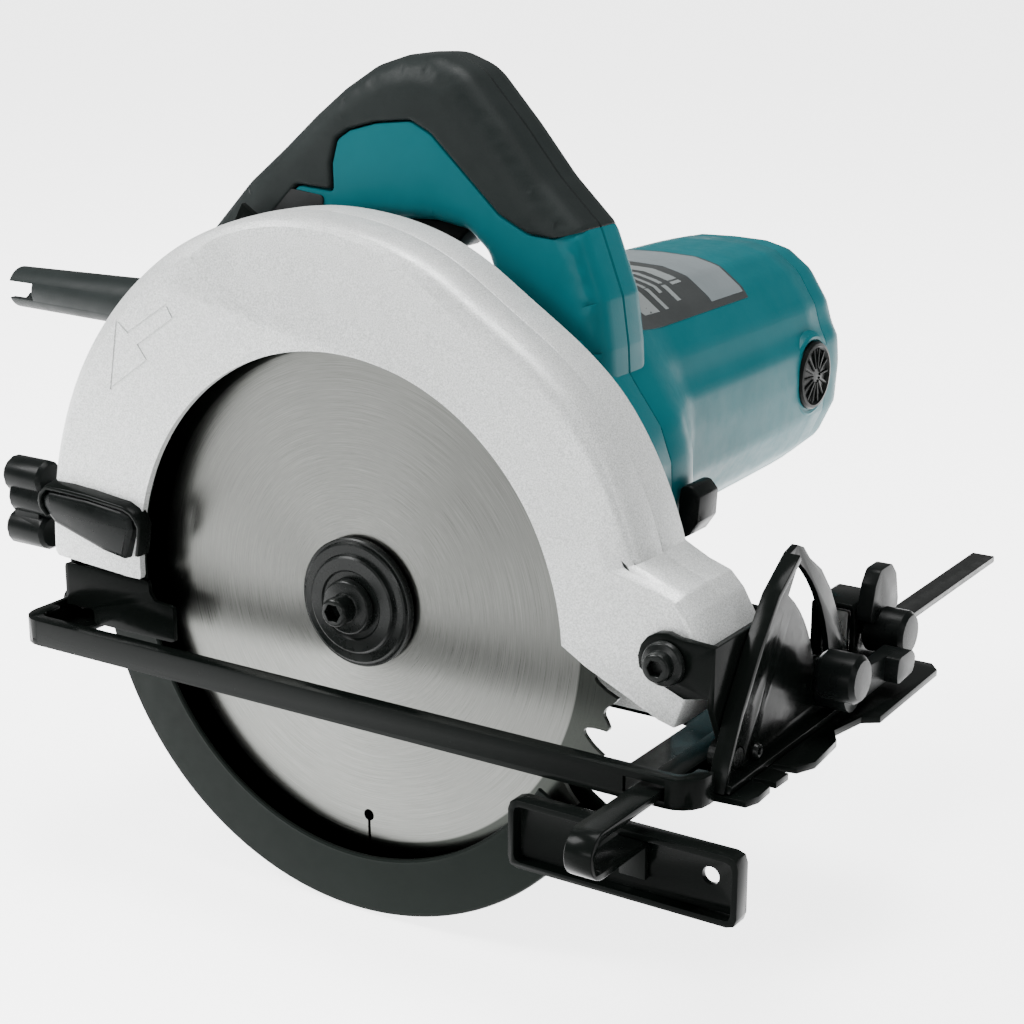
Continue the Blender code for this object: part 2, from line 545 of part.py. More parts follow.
# clamp band round the tail, its rubber pad, and the bolt through the depth guide
band_o = [(-86.0, -15.4), (-125.0, -15.4), (-127.6, -12.8), (-127.6, 25.2), (-125.0, 27.6), (-79.5, 27.6)]
band_i = [(-79.5, 26.1), (-124.4, 26.1), (-126.1, 24.4), (-126.1, -12.2), (-124.4, -14.0), (-86.0, -14.0)]
bd = prism("band", "z", band_o + band_i, 3.0, 17.5)
cut(bd, lathe("c", "x", (2.0, 11.0), [(-129, 0), (-129, 3.2), (-125, 3.2), (-125, 0)], 16))
cut(bd, lathe("c", "y", (PX - GUIDE_RS, PZ), [(25, 0), (25, 2.4), (29, 2.4), (29, 0)], 12))
finish(bd, "clamp_band", "black", "axis_depth")
pad = prism("pad", "z", [(-90.0, -13.7), (-124.2, -13.7), (-125.7, -12.2), (-125.7, 18.0), (-123.4, 18.0), (-123.4, -11.0),
                         (-122.6, -12.3), (-90.0, -12.3)], 0.5, 20.0)
finish(pad, "clamp_pad", "grip", "axis_depth")
b = lathe("b", "y", (PX - GUIDE_RS, PZ), [(13.6, 0), (13.6, 3.8), (16.9, 4.0), (16.9, 2.0), (31.6, 2.0), (31.6, 0)], 12)
join(b, lathe("n", "y", (PX - GUIDE_RS, PZ), [(27.9, 0), (27.9, 4.2), (30.6, 4.2), (30.6, 0)], 6))
finish(b, "depth_clamp_bolt", "oxide", "axis_depth")

# wing screw of the clamp band
kn = lathe("k", "x", (2.0, 11.0), [(-149.0, 0), (-149.0, 5.4), (-147.8, 6.4), (-131.0, 6.4), (-129.0, 5.4), (-127.9, 5.4),
                                   (-127.9, 2.8), (-126.0, 2.8), (-126.0, 0)], 16)
lb1 = lathe("k", "x", (2.0, 18.0), [(-151.5, 0), (-151.5, 5.0), (-150.0, 6.3), (-135.4, 6.3), (-134.0, 5.2), (-134.0, 0)], 14)
lb2 = lathe("k", "x", (2.0, -0.6), [(-151.5, 0), (-151.5, 5.0), (-150.0, 6.3), (-135.4, 6.3), (-134.0, 5.2), (-134.0, 0)], 14)
wk = box("k", -148.0, -137.0, -2.0, 6.0, -2.0, 10.0)
join(kn, lb1, lb2, wk)
finish(kn, "depth_clamp_knob", "nylon", "axis_depth_knob")

# ================================================================== LOWER GUARD (hinged on the retainer)
G0, G1 = -32.0, -208.0


def guard_shell():
    prof = [(22.0, 10.2), (GUARD_RO, 10.2), (GUARD_RO, -7.6), (GUARD_RI, -7.6), (GUARD_RI, -6.2), (99.4, -6.2), (99.4, 8.7),
            (22.0, 8.7)]
    n = 30
    vs, fs = [], []
    for i in range(n + 1):
        a = math.radians(G0 + (G1 - G0) * i / n)
        vs += [(r * math.cos(a), y, r * math.sin(a)) for r, y in prof]
    m = len(prof)
    for i in range(n):
        for k in range(m):
            l = (k + 1) % m
            fs.append([i * m + k, i * m + l, (i + 1) * m + l, (i + 1) * m + k])
    fs.append(list(range(m))[::-1])
    fs.append([n * m + k for k in range(m)])
    return new_obj("lg", vs, fs)


lg = guard_shell()
join(lg, lathe("hub", "y", (0, 0), [(8.5, 18.6), (8.5, 27.0), (10.5, 27.0), (10.5, 18.6)], 28))
lug = prism("lug", "y", [polar(87.5, -207.6), polar(87.5, -203.0), polar(95.0, -203.0), polar(95.0, -207.6)], 9.2, 14.8)
join(lg, lug)
finish(lg, "lower_guard", "guard", "axis_lower_guard", 35)

# return spring round the retainer
vs, fs = [], []
turns, per, sides, sr = 2.0, 14, 5, 0.75
N = int(turns * per)
for i in range(N + 1):
    a = 2 * math.pi * i / per
    y = 12.4 + 3.2 * i / N
    for k in range(sides):
        t = 2 * math.pi * k / sides
        r = 21.0 + sr * math.cos(t)
        vs.append((r * math.cos(a), y + sr * math.sin(t), r * math.sin(a)))
for i in range(N):
    for k in range(sides):
        l = (k + 1) % sides
        fs.append([i * sides + k, i * sides + l, (i + 1) * sides + l, (i + 1) * sides + k])
fs.append(list(range(sides))[::-1])
fs.append([N * sides + k for k in range(sides)])
finish(new_obj("sp", vs, fs), "guard_return_spring", "steel", "axis_depth")

# ================================================================== BLADE AND ARBOR
pts = []
pitch = 360.0 / TEETH
for k in range(TEETH):
    a = -8.0 - k * pitch          # tip angle; the blade cuts upwards at the front
    # tip, falling back, dip, limiter hump, gullet, face of the next tooth
    for r, d in ((92.5, 0.0), (91.2, 1.3), (88.9, 3.2), (89.2, 4.5), (91.6, 6.2), (91.2, 7.1), (86.4, 7.9), (84.2, 8.9),
                 (84.8, 10.1), (88.2, 11.3)):
        pts.append(polar(r, a - d))
blade = prism("blade", "y", pts, 0.0, BLADE_T)
cut(blade, lathe("c", "y", (0, 0), [(-2, 0), (-2, 10.3), (4, 10.3), (4, 0)], 28))
for k in range(4):
    a = -89.0 + 90.0 * k
    c = polar(71.6, a)
    cut(blade, lathe("c", "y", c, [(-2, 0), (-2, 1.5), (4, 1.5), (4, 0)], 10))
    u, v = math.cos(math.radians(a)), math.sin(math.radians(a))
    w = 0.45
    cut(blade, prism("c", "y", [(c[0] - v * w, c[1] + u * w), (c[0] + v * w, c[1] - u * w),
                                (c[0] + 24 * u + v * w, c[1] + 24 * v - u * w),
                                (c[0] + 24 * u - v * w, c[1] + 24 * v + u * w)], -2, 4))
finish(blade, "saw_blade", "blade", "axis_blade")

finish(lathe("f", "y", (0, 0), [(-0.3, 4.3), (-0.3, 19.6), (-1.0, 20.5), (-3.4, 20.5), (-4.2, 19.7), (-4.2, 15.6),
                                (-5.4, 15.2), (-5.4, 4.3)], 32), "outer_flange", "oxide", "axis_blade")
finish(lathe("f", "y", (0, 0), [(0.2, 6.4), (0.2, 9.9), (2.1, 9.9), (2.1, 20.5), (5.0, 20.5), (6.6, 17.0), (6.6, 6.4)], 32),
       "inner_flange", "oxide", "axis_blade")
b = lathe("b", "y", (0, 0), [(-14.6, 0), (-14.6, 3.9), (-14.0, 4.4), (-8.4, 4.4), (-8.4, 8.4), (-5.7, 9.0), (-5.7, 3.9),
                             (10.0, 3.9), (10.0, 0)], 24)
cut(b, lathe("c", "y", (0, 0), [(-16, 0), (-16, 2.9), (-10.4, 2.9), (-10.4, 0)], 6))
finish(b, "blade_bolt", "oxide", "axis_blade")
finish(lathe("s", "y", (0, 0), [(0.4, 4.2), (0.4, 6.1), (9.9, 6.1), (9.9, 7.0), (37.9, 7.0), (37.9, 5.0), (43.8, 5.0),
                                (43.8, 0), (10.4, 0), (10.4, 4.2)], 24), "spindle", "steel", "axis_blade")
finish(lathe("s", "y", (0, 0), [(10.0, 7.3), (10.0, 15.0), (18.0, 15.0), (18.0, 7.3)], 24), "spindle_bearing_front", "steel",
       "axis_depth")
finish(lathe("s", "y", (0, 0), [(38.3, 5.3), (38.3, 10.8), (43.6, 10.8), (43.6, 5.3)], 20), "spindle_bearing_rear", "steel",
       "axis_depth")
finish(lathe("s", "y", (0, 0), [(7.4, 15.3), (7.4, 18.2), (17.2, 18.2), (17.2, 24.2), (19.8, 24.2), (19.8, 15.3)], 28),
       "bearing_retainer", "alu", "axis_depth")


def gear_poly(n, phase, clear=0.17):
    """Stub involute-like teeth, 25 degree flanks, thinned for backlash.  phase in degrees is a tooth centre."""
    m = GEAR_M
    rp = n * m / 2.0
    ra, rf = rp + 0.75 * m, rp - 1.0 * m
    half = (math.pi * m / 4.0 - clear) / rp           # half tooth angle at the pitch circle
    alpha = math.radians(25)
    rb = rp * math.cos(alpha)

    def inv(r):
        if r <= rb:
            return 0.0
        t = math.acos(rb / r)
        return math.tan(t) - t
    out = []
    for k in range(n):
        c = math.radians(phase) + 2 * math.pi * k / n
        hp = half + inv(rp) - inv(ra)
        hr = half + inv(rp) - inv(max(rf, rb))
        for r, h in ((rf, -hr - 0.02), (rp, -half), (ra, -hp), (ra, hp), (rp, half), (rf, hr + 0.02)):
            out.append((r * math.cos(c + h), r * math.sin(c + h)))
    return out


def shift(poly, c):
    return [(a + c[0], b + c[1]) for a, b in poly]


# three gears: spindle gear, idler, armature pinion
R1, RI_, R3 = GEAR_N * GEAR_M / 2, IDLER_N * GEAR_M / 2, PINION_N * GEAR_M / 2
D = math.hypot(MX, MZ)
d1, d2 = R1 + RI_, RI_ + R3
base_ang = math.atan2(MZ, MX)
al = math.acos((d1 * d1 + D * D - d2 * d2) / (2 * d1 * D))
idler_ang = base_ang + al
IX, IZ = d1 * math.cos(idler_ang), d1 * math.sin(idler_ang)


def mesh_phase(phi_a, n_a, psi, n_b):
    """Tooth phase of gear b that meshes with gear a (tooth at phi_a) along the line of centres psi (radians)."""
    pa, pb = 2 * math.pi / n_a, 2 * math.pi / n_b
    return psi + math.pi - pb * ((phi_a - psi) / pa + 0.5)


phi1 = idler_ang
phi2 = mesh_phase(phi1, GEAR_N, idler_ang, IDLER_N)
psi2 = math.atan2(MZ - IZ, MX - IX)
phi3 = mesh_phase(phi2, IDLER_N, psi2, PINION_N)

joint_empty("axis_idler", IX, 0, IZ, "axis_depth")

g = prism("g", "y", gear_poly(GEAR_N, math.degrees(phi1)), 26.0, 36.0)
cut(g, lathe("c", "y", (0, 0), [(20, 0), (20, 7.3), (40, 7.3), (40, 0)], 20))
finish(g, "spindle_gear", "steel", "axis_blade")
g = prism("g", "y", shift(gear_poly(IDLER_N, math.degrees(phi2)), (IX, IZ)), 26.0, 36.0)
join(g, lathe("c", "y", (IX, IZ), [(24.2, 0), (24.2, 3.0), (42.0, 3.0), (42.0, 0)], 14))
finish(g, "idler_gear", "steel", "axis_idler")

# ================================================================== MOTOR
sh_ = prism("g", "y", shift(gear_poly(PINION_N, math.degrees(phi3)), (MX, MZ)), 26.0, 36.5)
join(sh_, lathe("c", "y", (MX, MZ), [(24.4, 0), (24.4, 2.6), (30.0, 2.6), (34.0, 3.6), (44.0, 3.6), (44.0, 4.0), (191.0, 4.0),
                                     (191.0, 0)], 16))
finish(sh_, "armature_shaft", "steel", "axis_motor")

core_poly = []
for k in range(12):
    a = 30.0 * k
    core_poly += [polar(21.5, a - 12.2, MOTOR), polar(21.5, a, MOTOR), polar(21.5, a + 12.2, MOTOR), polar(15.5, a + 12.6, MOTOR),
                  polar(15.5, a + 17.4, MOTOR)]
core = prism("c", "y", core_poly, 78.0, 128.0)
cut(core, lathe("c", "y", MOTOR, [(70, 0), (70, 4.3), (140, 4.3), (140, 0)], 16))
finish(core, "armature_core", "steel", "axis_motor")
finish(lathe("c", "y", MOTOR, [(163.0, 4.3), (163.0, 12.0), (184.0, 12.0), (184.0, 14.0), (186.0, 14.0), (186.0, 4.3)], 24),
       "commutator", "copper", "axis_motor")
fan = lathe("f", "y", MOTOR, [(58.0, 4.3), (58.0, 9.0), (63.0, 10.0), (64.6, 33.0), (66.2, 33.0), (66.2, 4.3)], 24)
for k in range(9):
    a = 40.0 * k
    p0, p1 = polar(8.0, a, MOTOR), polar(32.0, a - 16, MOTOR)
    dx, dz = p1[0] - p0[0], p1[1] - p0[1]
    L = math.hypot(dx, dz)
    nx, nz = -dz / L * 0.8, dx / L * 0.8
    join(fan, prism("b", "y", [(p0[0] + nx, p0[1] + nz), (p0[0] - nx, p0[1] - nz), (p1[0] - nx, p1[1] - nz),
                               (p1[0] + nx, p1[1] + nz)], 57.0, 65.4))
finish(fan, "cooling_fan", "nylon", "axis_motor")
finish(lathe("b", "y", MOTOR, [(46.0, 4.3), (46.0, 11.0), (52.6, 11.0), (52.6, 4.3)], 20), "armature_bearing_front", "steel",
       "axis_depth")
finish(lathe("b", "y", MOTOR, [(187.0, 4.3), (187.0, 9.5), (191.6, 9.5), (191.6, 4.3)], 20), "armature_bearing_rear", "steel",
       "axis_depth")


def squircle(cx, cz, hx, hz, n, e=3.2, top=None):
    out = []
    for i in range(n):
        t = 2 * math.pi * (i + 0.5) / n
        c, s = math.cos(t), math.sin(t)
        out.append((cx + hx * math.copysign(abs(c) ** (2 / e), c), cz + hz * math.copysign(abs(s) ** (2 / e), s)))
    return out


st = loft("st", "y", [squircle(MX, MZ, 34.5, 34.5, 32, 3.0)] * 2, [76.0, 131.0])
cut(st, lathe("c", "y", MOTOR, [(70, 0), (70, 22.6), (140, 22.6), (140, 0)], 28))
finish(st, "field_stator", "steel", "axis_depth")

# gear housing: cup that bolts to the case's back, open towards the motor
gh_out = [(-27.0, -8.0), (-29.5, 10.0), (-29.0, 40.0), (-25.0, 66.0), (-16.0, 79.0), (-4.0, 84.2), (44.0, 85.6), (60.0, 83.0),
          (70.0, 69.0), (79.0, 57.0), (83.0, 46.0), (83.6, 34.0), (78.0, 18.0), (58.0, 2.0), (34.0, -14.0), (16.0, -22.6), (0.0, -24.3),
          (-14.0, -22.6), (-22.0, -16.5)]


def inset(poly, d):
    """Offsets a counter-clockwise or clockwise ring inwards by d."""
    n = len(poly)
    area = sum(poly[i][0] * poly[(i + 1) % n][1] - poly[(i + 1) % n][0] * poly[i][1] for i in range(n))
    s = 1.0 if area > 0 else -1.0
    out = []
    for i in range(n):
        a, p, c = Vector(poly[i - 1]), Vector(poly[i]), Vector(poly[(i + 1) % n])
        e0, e1 = (p - a).normalized(), (c - p).normalized()
        n0, n1 = Vector((-e0.y, e0.x)) * s, Vector((-e1.y, e1.x)) * s
        bis = (n0 + n1)
        bis.normalize()
        k = d / max(0.35, bis.dot(n0))
        out.append((p.x + bis.x * k, p.y + bis.y * k))
    return out


gh = loft("gh", "y", [inset(gh_out, 1.6), gh_out, gh_out], [20.3, 22.4, 44.8])
cut(gh, prism("c", "y", inset(gh_out, 2.4), 23.0, 50.0))
cut(gh, lathe("c", "y", (0, 0), [(18, 0), (18, 7.6), (25, 7.6), (25, 0)], 20))
finish(gh, "gear_housing", "teal", "axis_depth", 35)

# motor housing: shell lofted from the gear housing's outline to a rounded barrel, open at both ends
NR = 40


def sample_ring(poly, n, c):
    """n points where rays from c meet the ring."""
    out = []
    m = len(poly)
    for i in range(n):
        t = 2 * math.pi * (i + 0.5) / n
        dx, dz = math.cos(t), math.sin(t)
        best = None
        for k in range(m):
            (x0, z0), (x1, z1) = poly[k], poly[(k + 1) % m]
            ex, ez = x1 - x0, z1 - z0
            den = dx * ez - dz * ex
            if abs(den) < 1e-12:
                continue
            s = ((x0 - c[0]) * ez - (z0 - c[1]) * ex) / den
            u = ((x0 - c[0]) * dz - (z0 - c[1]) * dx) / den
            if s > 0 and -1e-9 <= u <= 1 + 1e-9 and (best is None or s > best):
                best = s
        out.append((c[0] + dx * best, c[1] + dz * best))
    return out


def barrel(off, hx=41.0, hz=40.0, dx=0.0):
    return sample_ring(squircle(MX + dx, MZ - 1.0, hx - off, hz - off, 64, 3.4), NR, MOTOR)


def mix(a, b, t):
    return [(p[0] + (q[0] - p[0]) * t, p[1] + (q[1] - p[1]) * t) for p, q in zip(a, b)]


def flange_ring(off):
    return sample_ring(inset(gh_out, off) if off else gh_out, NR, MOTOR)


mh = loft("mh", "y", [flange_ring(0), flange_ring(0), mix(flange_ring(0), barrel(0), 0.55), barrel(0, 42.5, 40.5), barrel(0), barrel(0)],
          [45.1, 60.0, 72.0, 90.0, 140.0, 185.8])
mi = loft("mi", "y", [flange_ring(2.6), flange_ring(2.6), mix(flange_ring(2.6), barrel(2.6), 0.55), barrel(2.6, 42.5, 40.5),
                      barrel(2.6), barrel(2.6)], [44.0, 60.0, 72.0, 90.0, 140.0, 187.0])
cut(mh, mi)
for sx in (1, -1):
    cut(mh, lathe("c", "x", (173.5, MZ), [(MX + sx * 20.0, 0), (MX + sx * 20.0, 8.0), (MX + sx * 60.0, 8.0), (MX + sx * 60.0, 0)], 18))
finish(mh, "motor_housing", "teal", "axis_depth", 35)

ec = loft("ec", "y", [barrel(0), barrel(0.3), barrel(2.6), barrel(8.0)], [186.1, 197.0, 201.5, 203.6])
cut(ec, loft("c", "y", [barrel(2.8), barrel(5.0)], [185.0, 196.5]))
finish(ec, "end_cover", "teal", "axis_depth", 35)

for side, nm in ((1, "front"), (-1, "rear")):
    x0 = MX + side * 41.3
    prof = [(x0 + side * 0.2, 7.4), (x0 - side * 10.0, 7.4), (x0 - side * 10.0, 0), (x0 + side * 5.0, 0), (x0 + side * 5.2, 9.4),
            (x0 + side * 4.4, 11.6), (x0 + side * 0.2, 12.3)]
    finish(lathe("cap", "x", (173.5, MZ), prof, 20), "brush_cap_" + nm, "nylon", "axis_depth")
    xa, xb = MX + side * 12.4, MX + side * 30.8
    finish(box("br", min(xa, xb), max(xa, xb), 170.4, 176.6, MZ - 3.2, MZ + 3.2), "carbon_brush_" + nm, "carbon", "axis_depth")

# generic rating plate on top of the barrel
finish(box("lp", -2.0, 47.0, 86.0, 152.0, 85.7, 86.3), "rating_plate", "label", "axis_depth")

# ================================================================== D-HANDLE
T_OUT = [(-29.8, 47.0), (-60.0, 45.0), (-88.0, 46.0), (-100.0, 52.0), (-104.0, 60.0),
         (-87.0, 67.5), (-84.0, 78.0), (-72.5, 93.0), (-61.0, 104.0), (-52.0, 113.0), (-45.0, 121.0), (-30.0, 120.0),
         (-31.0, 131.0), (-24.0, 137.0), (0.0, 143.0), (8.0, 141.0), (36.0, 114.0), (46.0, 111.2), (57.0, 112.0), (62.4, 114.0),
         (63.6, 100.0), (65.2, 87.2), (28.2, 86.2), (28.5, 98.0), (25.0, 106.0), (18.0, 112.0), (-14.0, 112.0), (-40.0, 102.0),
         (-56.0, 90.0), (-65.0, 78.0), (-64.0, 69.0), (-58.0, 62.0), (-29.8, 61.0)]
G_OUT = [(-104.0, 60.4), (-104.6, 70.0), (-102.0, 82.0), (-91.0, 100.0), (-73.0, 124.0), (-57.0, 136.5), (-41.0, 147.0),
         (-28.0, 155.0), (-15.0, 160.7), (-2.0, 163.0), (13.0, 161.6), (26.0, 154.6), (44.0, 136.5), (61.4, 116.5), (62.4, 114.5),
         (57.0, 112.4), (46.0, 111.6), (36.2, 114.4), (8.3, 141.4), (0.0, 143.4), (-24.2, 137.4), (-31.4, 131.3), (-30.5, 120.6),
         (-45.2, 121.4), (-52.4, 113.4), (-61.4, 104.4), (-73.0, 93.3), (-84.5, 78.2), (-87.5, 68.0)]
POCKET = [(-27.0, 118.0), (-25.0, 130.0), (0.0, 138.0), (6.0, 136.0), (22.0, 121.0), (16.0, 115.0), (16.0, 110.0), (-13.5, 110.0),
          (-13.5, 116.0)]
POST = [(32.5, 91.0), (33.0, 104.0), (38.0, 109.0), (54.0, 108.0), (59.5, 102.0), (60.6, 91.0)]


def side_shape(poly, y_out, y_mid, taper):
    """Handle half: full outline at the parting plane, drawn in at the side face."""
    s = inset(poly, taper)
    ys = [y_out, y_out + (y_mid - y_out) * 0.32, y_mid]
    return loft("h", "y", [s, poly, poly], ys)


for nm, yo, ym in (("right", 30.2, 44.85), ("left", 59.8, 45.15)):
    h = side_shape(T_OUT, yo, ym, 1.3)
    s = 1 if ym > yo else -1
    cut(h, prism("c", "y", POCKET, yo + 3.4 * s, ym + 1.0 * s), prism("c", "y", POST, yo + 3.0 * s, ym + 1.0 * s))
    if nm == "left":
        cut(h, lathe("c", "y", (-8.0, 132.0), [(50, 0), (50, 4.2), (62, 4.2), (62, 0)], 14))
    finish(h, "handle_" + nm, "teal", "axis_depth", 35)
    gname = side_shape(G_OUT, yo - 0.6 * s, ym, 1.7)
    finish(gname, "grip_" + nm, "grip", "axis_depth", 35)

# switch block in the handle, trigger below it, lock-on button at its left side
finish(prism("sw", "y", [(-24.0, 121.5), (-23.0, 129.0), (-1.0, 136.0), (4.0, 134.0), (15.0, 123.5), (15.0, 121.5)], 36.6, 53.4),
       "switch_block", "nylon", "axis_depth")
finish(prism("tr", "y", [(-12.6, 113.2), (-12.0, 107.0), (-6.0, 104.0), (4.0, 103.2), (9.0, 104.0), (15.2, 110.4), (15.2, 113.2)],
             37.0, 53.0), "trigger", "nylon", "axis_trigger")
finish(lathe("lb", "y", (-8.0, 132.0), [(56.4, 0), (56.4, 3.9), (61.6, 3.9), (62.4, 3.2), (62.4, 0)], 14), "lock_button", "nylon",
       "axis_lock_button")
# strain relief stub of the supply cord
cg = lathe("cg", "x", (45.0, 72.0), [(-184.0, 0), (-184.0, 7.6), (-150.0, 8.2), (-118.0, 9.2), (-105.2, 9.6), (-105.2, 0)], 16)
cut(cg, lathe("c", "x", (45.0, 72.0), [(-190, 0), (-190, 4.6), (-120, 4.6), (-120, 0)], 12))
cut(cg, box("c", -190.0, -174.0, 42.6, 47.4, 60, 84))
finish(cg, "cord_guard", "grip", "axis_depth")

# shaft lock lever under the housing's front corner
sl = prism("sl", "y", rounded([(84.2, 21.0), (87.5, 21.5), (91.0, 28.0), (91.5, 38.0), (88.6, 42.0), (85.0, 41.0), (84.4, 36.0)],
                              1.2, 1), 47.5, 60.0)
finish(sl, "shaft_lock", "nylon", "axis_shaft_lock")

# fasteners on the handle's left side and the end cover
for nm, c in (("handle_screw_top", (20.0, 148.0)), ("handle_screw_rear", (-88.0, 84.0))):
    finish(lathe("s", "y", c, [(60.7, 0), (60.7, 3.4), (62.4, 3.4), (63.0, 2.2), (63.0, 0)], 12), nm, "steel", "axis_depth")

bpy.context.view_layer.update()
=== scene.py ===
import bpy
import bmesh
import json
import math
import numpy as np
from mathutils import Vector, Matrix
from mathutils.geometry import delaunay_2d_cdt


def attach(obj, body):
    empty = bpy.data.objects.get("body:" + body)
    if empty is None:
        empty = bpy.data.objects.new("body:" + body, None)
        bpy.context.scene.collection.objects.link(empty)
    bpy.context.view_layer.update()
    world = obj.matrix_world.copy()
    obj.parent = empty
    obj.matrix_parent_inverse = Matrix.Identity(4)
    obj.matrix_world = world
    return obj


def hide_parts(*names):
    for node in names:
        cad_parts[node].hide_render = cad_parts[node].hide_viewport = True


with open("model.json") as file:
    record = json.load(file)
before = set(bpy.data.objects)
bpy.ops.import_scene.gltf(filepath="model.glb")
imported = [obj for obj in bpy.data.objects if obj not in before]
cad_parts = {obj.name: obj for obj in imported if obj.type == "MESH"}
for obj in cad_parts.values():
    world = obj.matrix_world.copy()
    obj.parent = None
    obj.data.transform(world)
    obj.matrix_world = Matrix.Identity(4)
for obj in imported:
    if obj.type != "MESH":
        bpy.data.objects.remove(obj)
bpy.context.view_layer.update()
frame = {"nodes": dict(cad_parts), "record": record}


SC = bpy.context.scene
COL = SC.collection
BODY = {}
for _b, _ns in frame["record"]["behaviour"]["bodies"].items():
    for _n in _ns:
        BODY[_n] = _b
SLOT = {s["node"]: s["material_slot"] for s in frame["record"]["subparts"]}


def W(x, y, z):
    """Saw-frame millimetres (arbor axis along Y at x = z = 0, blade face at y = 0) to row-frame metres."""
    return Vector((x * 0.001, (y - 40.0) * 0.001, (z + 27.0) * 0.001))


# ---------------------------------------------------------------- materials
class Mat:
    """Small node builder."""

    def __init__(self, name):
        self.m = bpy.data.materials.new(name)
        self.m.use_nodes = True
        self.t = self.m.node_tree
        self.t.nodes.clear()
        self.out = self.t.nodes.new("ShaderNodeOutputMaterial")
        self.b = self.t.nodes.new("ShaderNodeBsdfPrincipled")
        self.t.links.new(self.b.outputs[0], self.out.inputs[0])
        self.tc = self.t.nodes.new("ShaderNodeTexCoord")

    def n(self, kind, **kw):
        nd = self.t.nodes.new(kind)
        for k, v in kw.items():
            setattr(nd, k, v)
        return nd

    def l(self, a, b):
        self.t.links.new(a, b)

    def noise(self, scale, detail=3.0, rough=0.5, vec=None):
        nd = self.n("ShaderNodeTexNoise")
        nd.inputs["Scale"].default_value = scale
        nd.inputs["Detail"].default_value = detail
        nd.inputs["Roughness"].default_value = rough
        self.l(vec if vec is not None else self.tc.outputs["Object"], nd.inputs["Vector"])
        return nd.outputs["Fac"]

    def ramp(self, fac, lo, hi, a, b):
        nd = self.n("ShaderNodeMapRange")
        nd.inputs["From Min"].default_value = lo
        nd.inputs["From Max"].default_value = hi
        nd.inputs["To Min"].default_value = a
        nd.inputs["To Max"].default_value = b
        self.l(fac, nd.inputs["Value"])
        return nd.outputs["Result"]

    def mixc(self, fac, a, b):
        nd = self.n("ShaderNodeMix", data_type="RGBA")
        if isinstance(fac, float):
            nd.inputs[0].default_value = fac
        else:
            self.l(fac, nd.inputs[0])
        for i, c in ((6, a), (7, b)):
            if isinstance(c, tuple):
                nd.inputs[i].default_value = (c[0], c[1], c[2], 1.0)
            else:
                self.l(c, nd.inputs[i])
        return nd.outputs[2]

    def bump(self, height, strength, dist, normal=None):
        nd = self.n("ShaderNodeBump")
        nd.inputs["Strength"].default_value = strength
        nd.inputs["Distance"].default_value = dist
        self.l(height, nd.inputs["Height"])
        if normal is not None:
            self.l(normal, nd.inputs["Normal"])
        return nd.outputs["Normal"]

    def edge(self, lo=0.51, hi=0.56):
        g = self.n("ShaderNodeNewGeometry")
        return self.ramp(g.outputs["Pointiness"], lo, hi, 0.0, 1.0)


def moulded(name, rgb, rough, grain=1400.0, grain_s=0.25, mottle=0.12, coat=0.0, edge=0.15, spec=0.35):
    m = Mat(name)
    big = m.noise(38.0, 4.0, 0.6)
    dark = tuple(c * (1 - mottle) for c in rgb)
    lite = tuple(c * (1 + mottle) + 0.002 for c in rgb)
    c = m.mixc(m.ramp(big, 0.35, 0.65, 0.0, 1.0), dark, lite)
    worn = tuple(min(1.0, x * 1.5 + 0.01) for x in rgb)
    e = m.n("ShaderNodeMath", operation="MULTIPLY")
    m.l(m.edge(), e.inputs[0])
    e.inputs[1].default_value = edge
    c = m.mixc(e.outputs[0], c, worn)
    m.l(c, m.b.inputs["Base Color"])
    m.l(m.ramp(m.noise(160.0, 5.0, 0.65), 0.3, 0.7, rough - 0.06, rough + 0.07), m.b.inputs["Roughness"])
    m.l(m.bump(m.noise(grain, 2.0, 0.5), grain_s, 0.00012), m.b.inputs["Normal"])
    if coat:
        m.b.inputs["Coat Weight"].default_value = coat
        m.b.inputs["Coat Roughness"].default_value = 0.25
    m.b.inputs["Specular IOR Level"].default_value = spec
    return m.m


def metal(name, rgb, rough, metallic=1.0, grain=900.0, grain_s=0.15, edge=0.35, dark=0.75, aniso=0.0, spec=0.5):
    m = Mat(name)
    big = m.noise(55.0, 4.0, 0.6)
    c = m.mixc(m.ramp(big, 0.3, 0.7, 0.0, 1.0), tuple(x * dark for x in rgb), rgb)
    e = m.n("ShaderNodeMath", operation="MULTIPLY")
    m.l(m.edge(), e.inputs[0])
    e.inputs[1].default_value = edge
    c = m.mixc(e.outputs[0], c, tuple(min(1.0, x * 1.6 + 0.04) for x in rgb))
    m.l(c, m.b.inputs["Base Color"])
    m.b.inputs["Metallic"].default_value = metallic
    m.b.inputs["Specular IOR Level"].default_value = spec
    m.l(m.ramp(m.noise(210.0, 5.0, 0.7), 0.3, 0.7, rough - 0.07, rough + 0.08), m.b.inputs["Roughness"])
    m.l(m.bump(m.noise(grain, 3.0, 0.6), grain_s, 0.00015), m.b.inputs["Normal"])
    if aniso:
        m.b.inputs["Anisotropic"].default_value = aniso
    return m.m


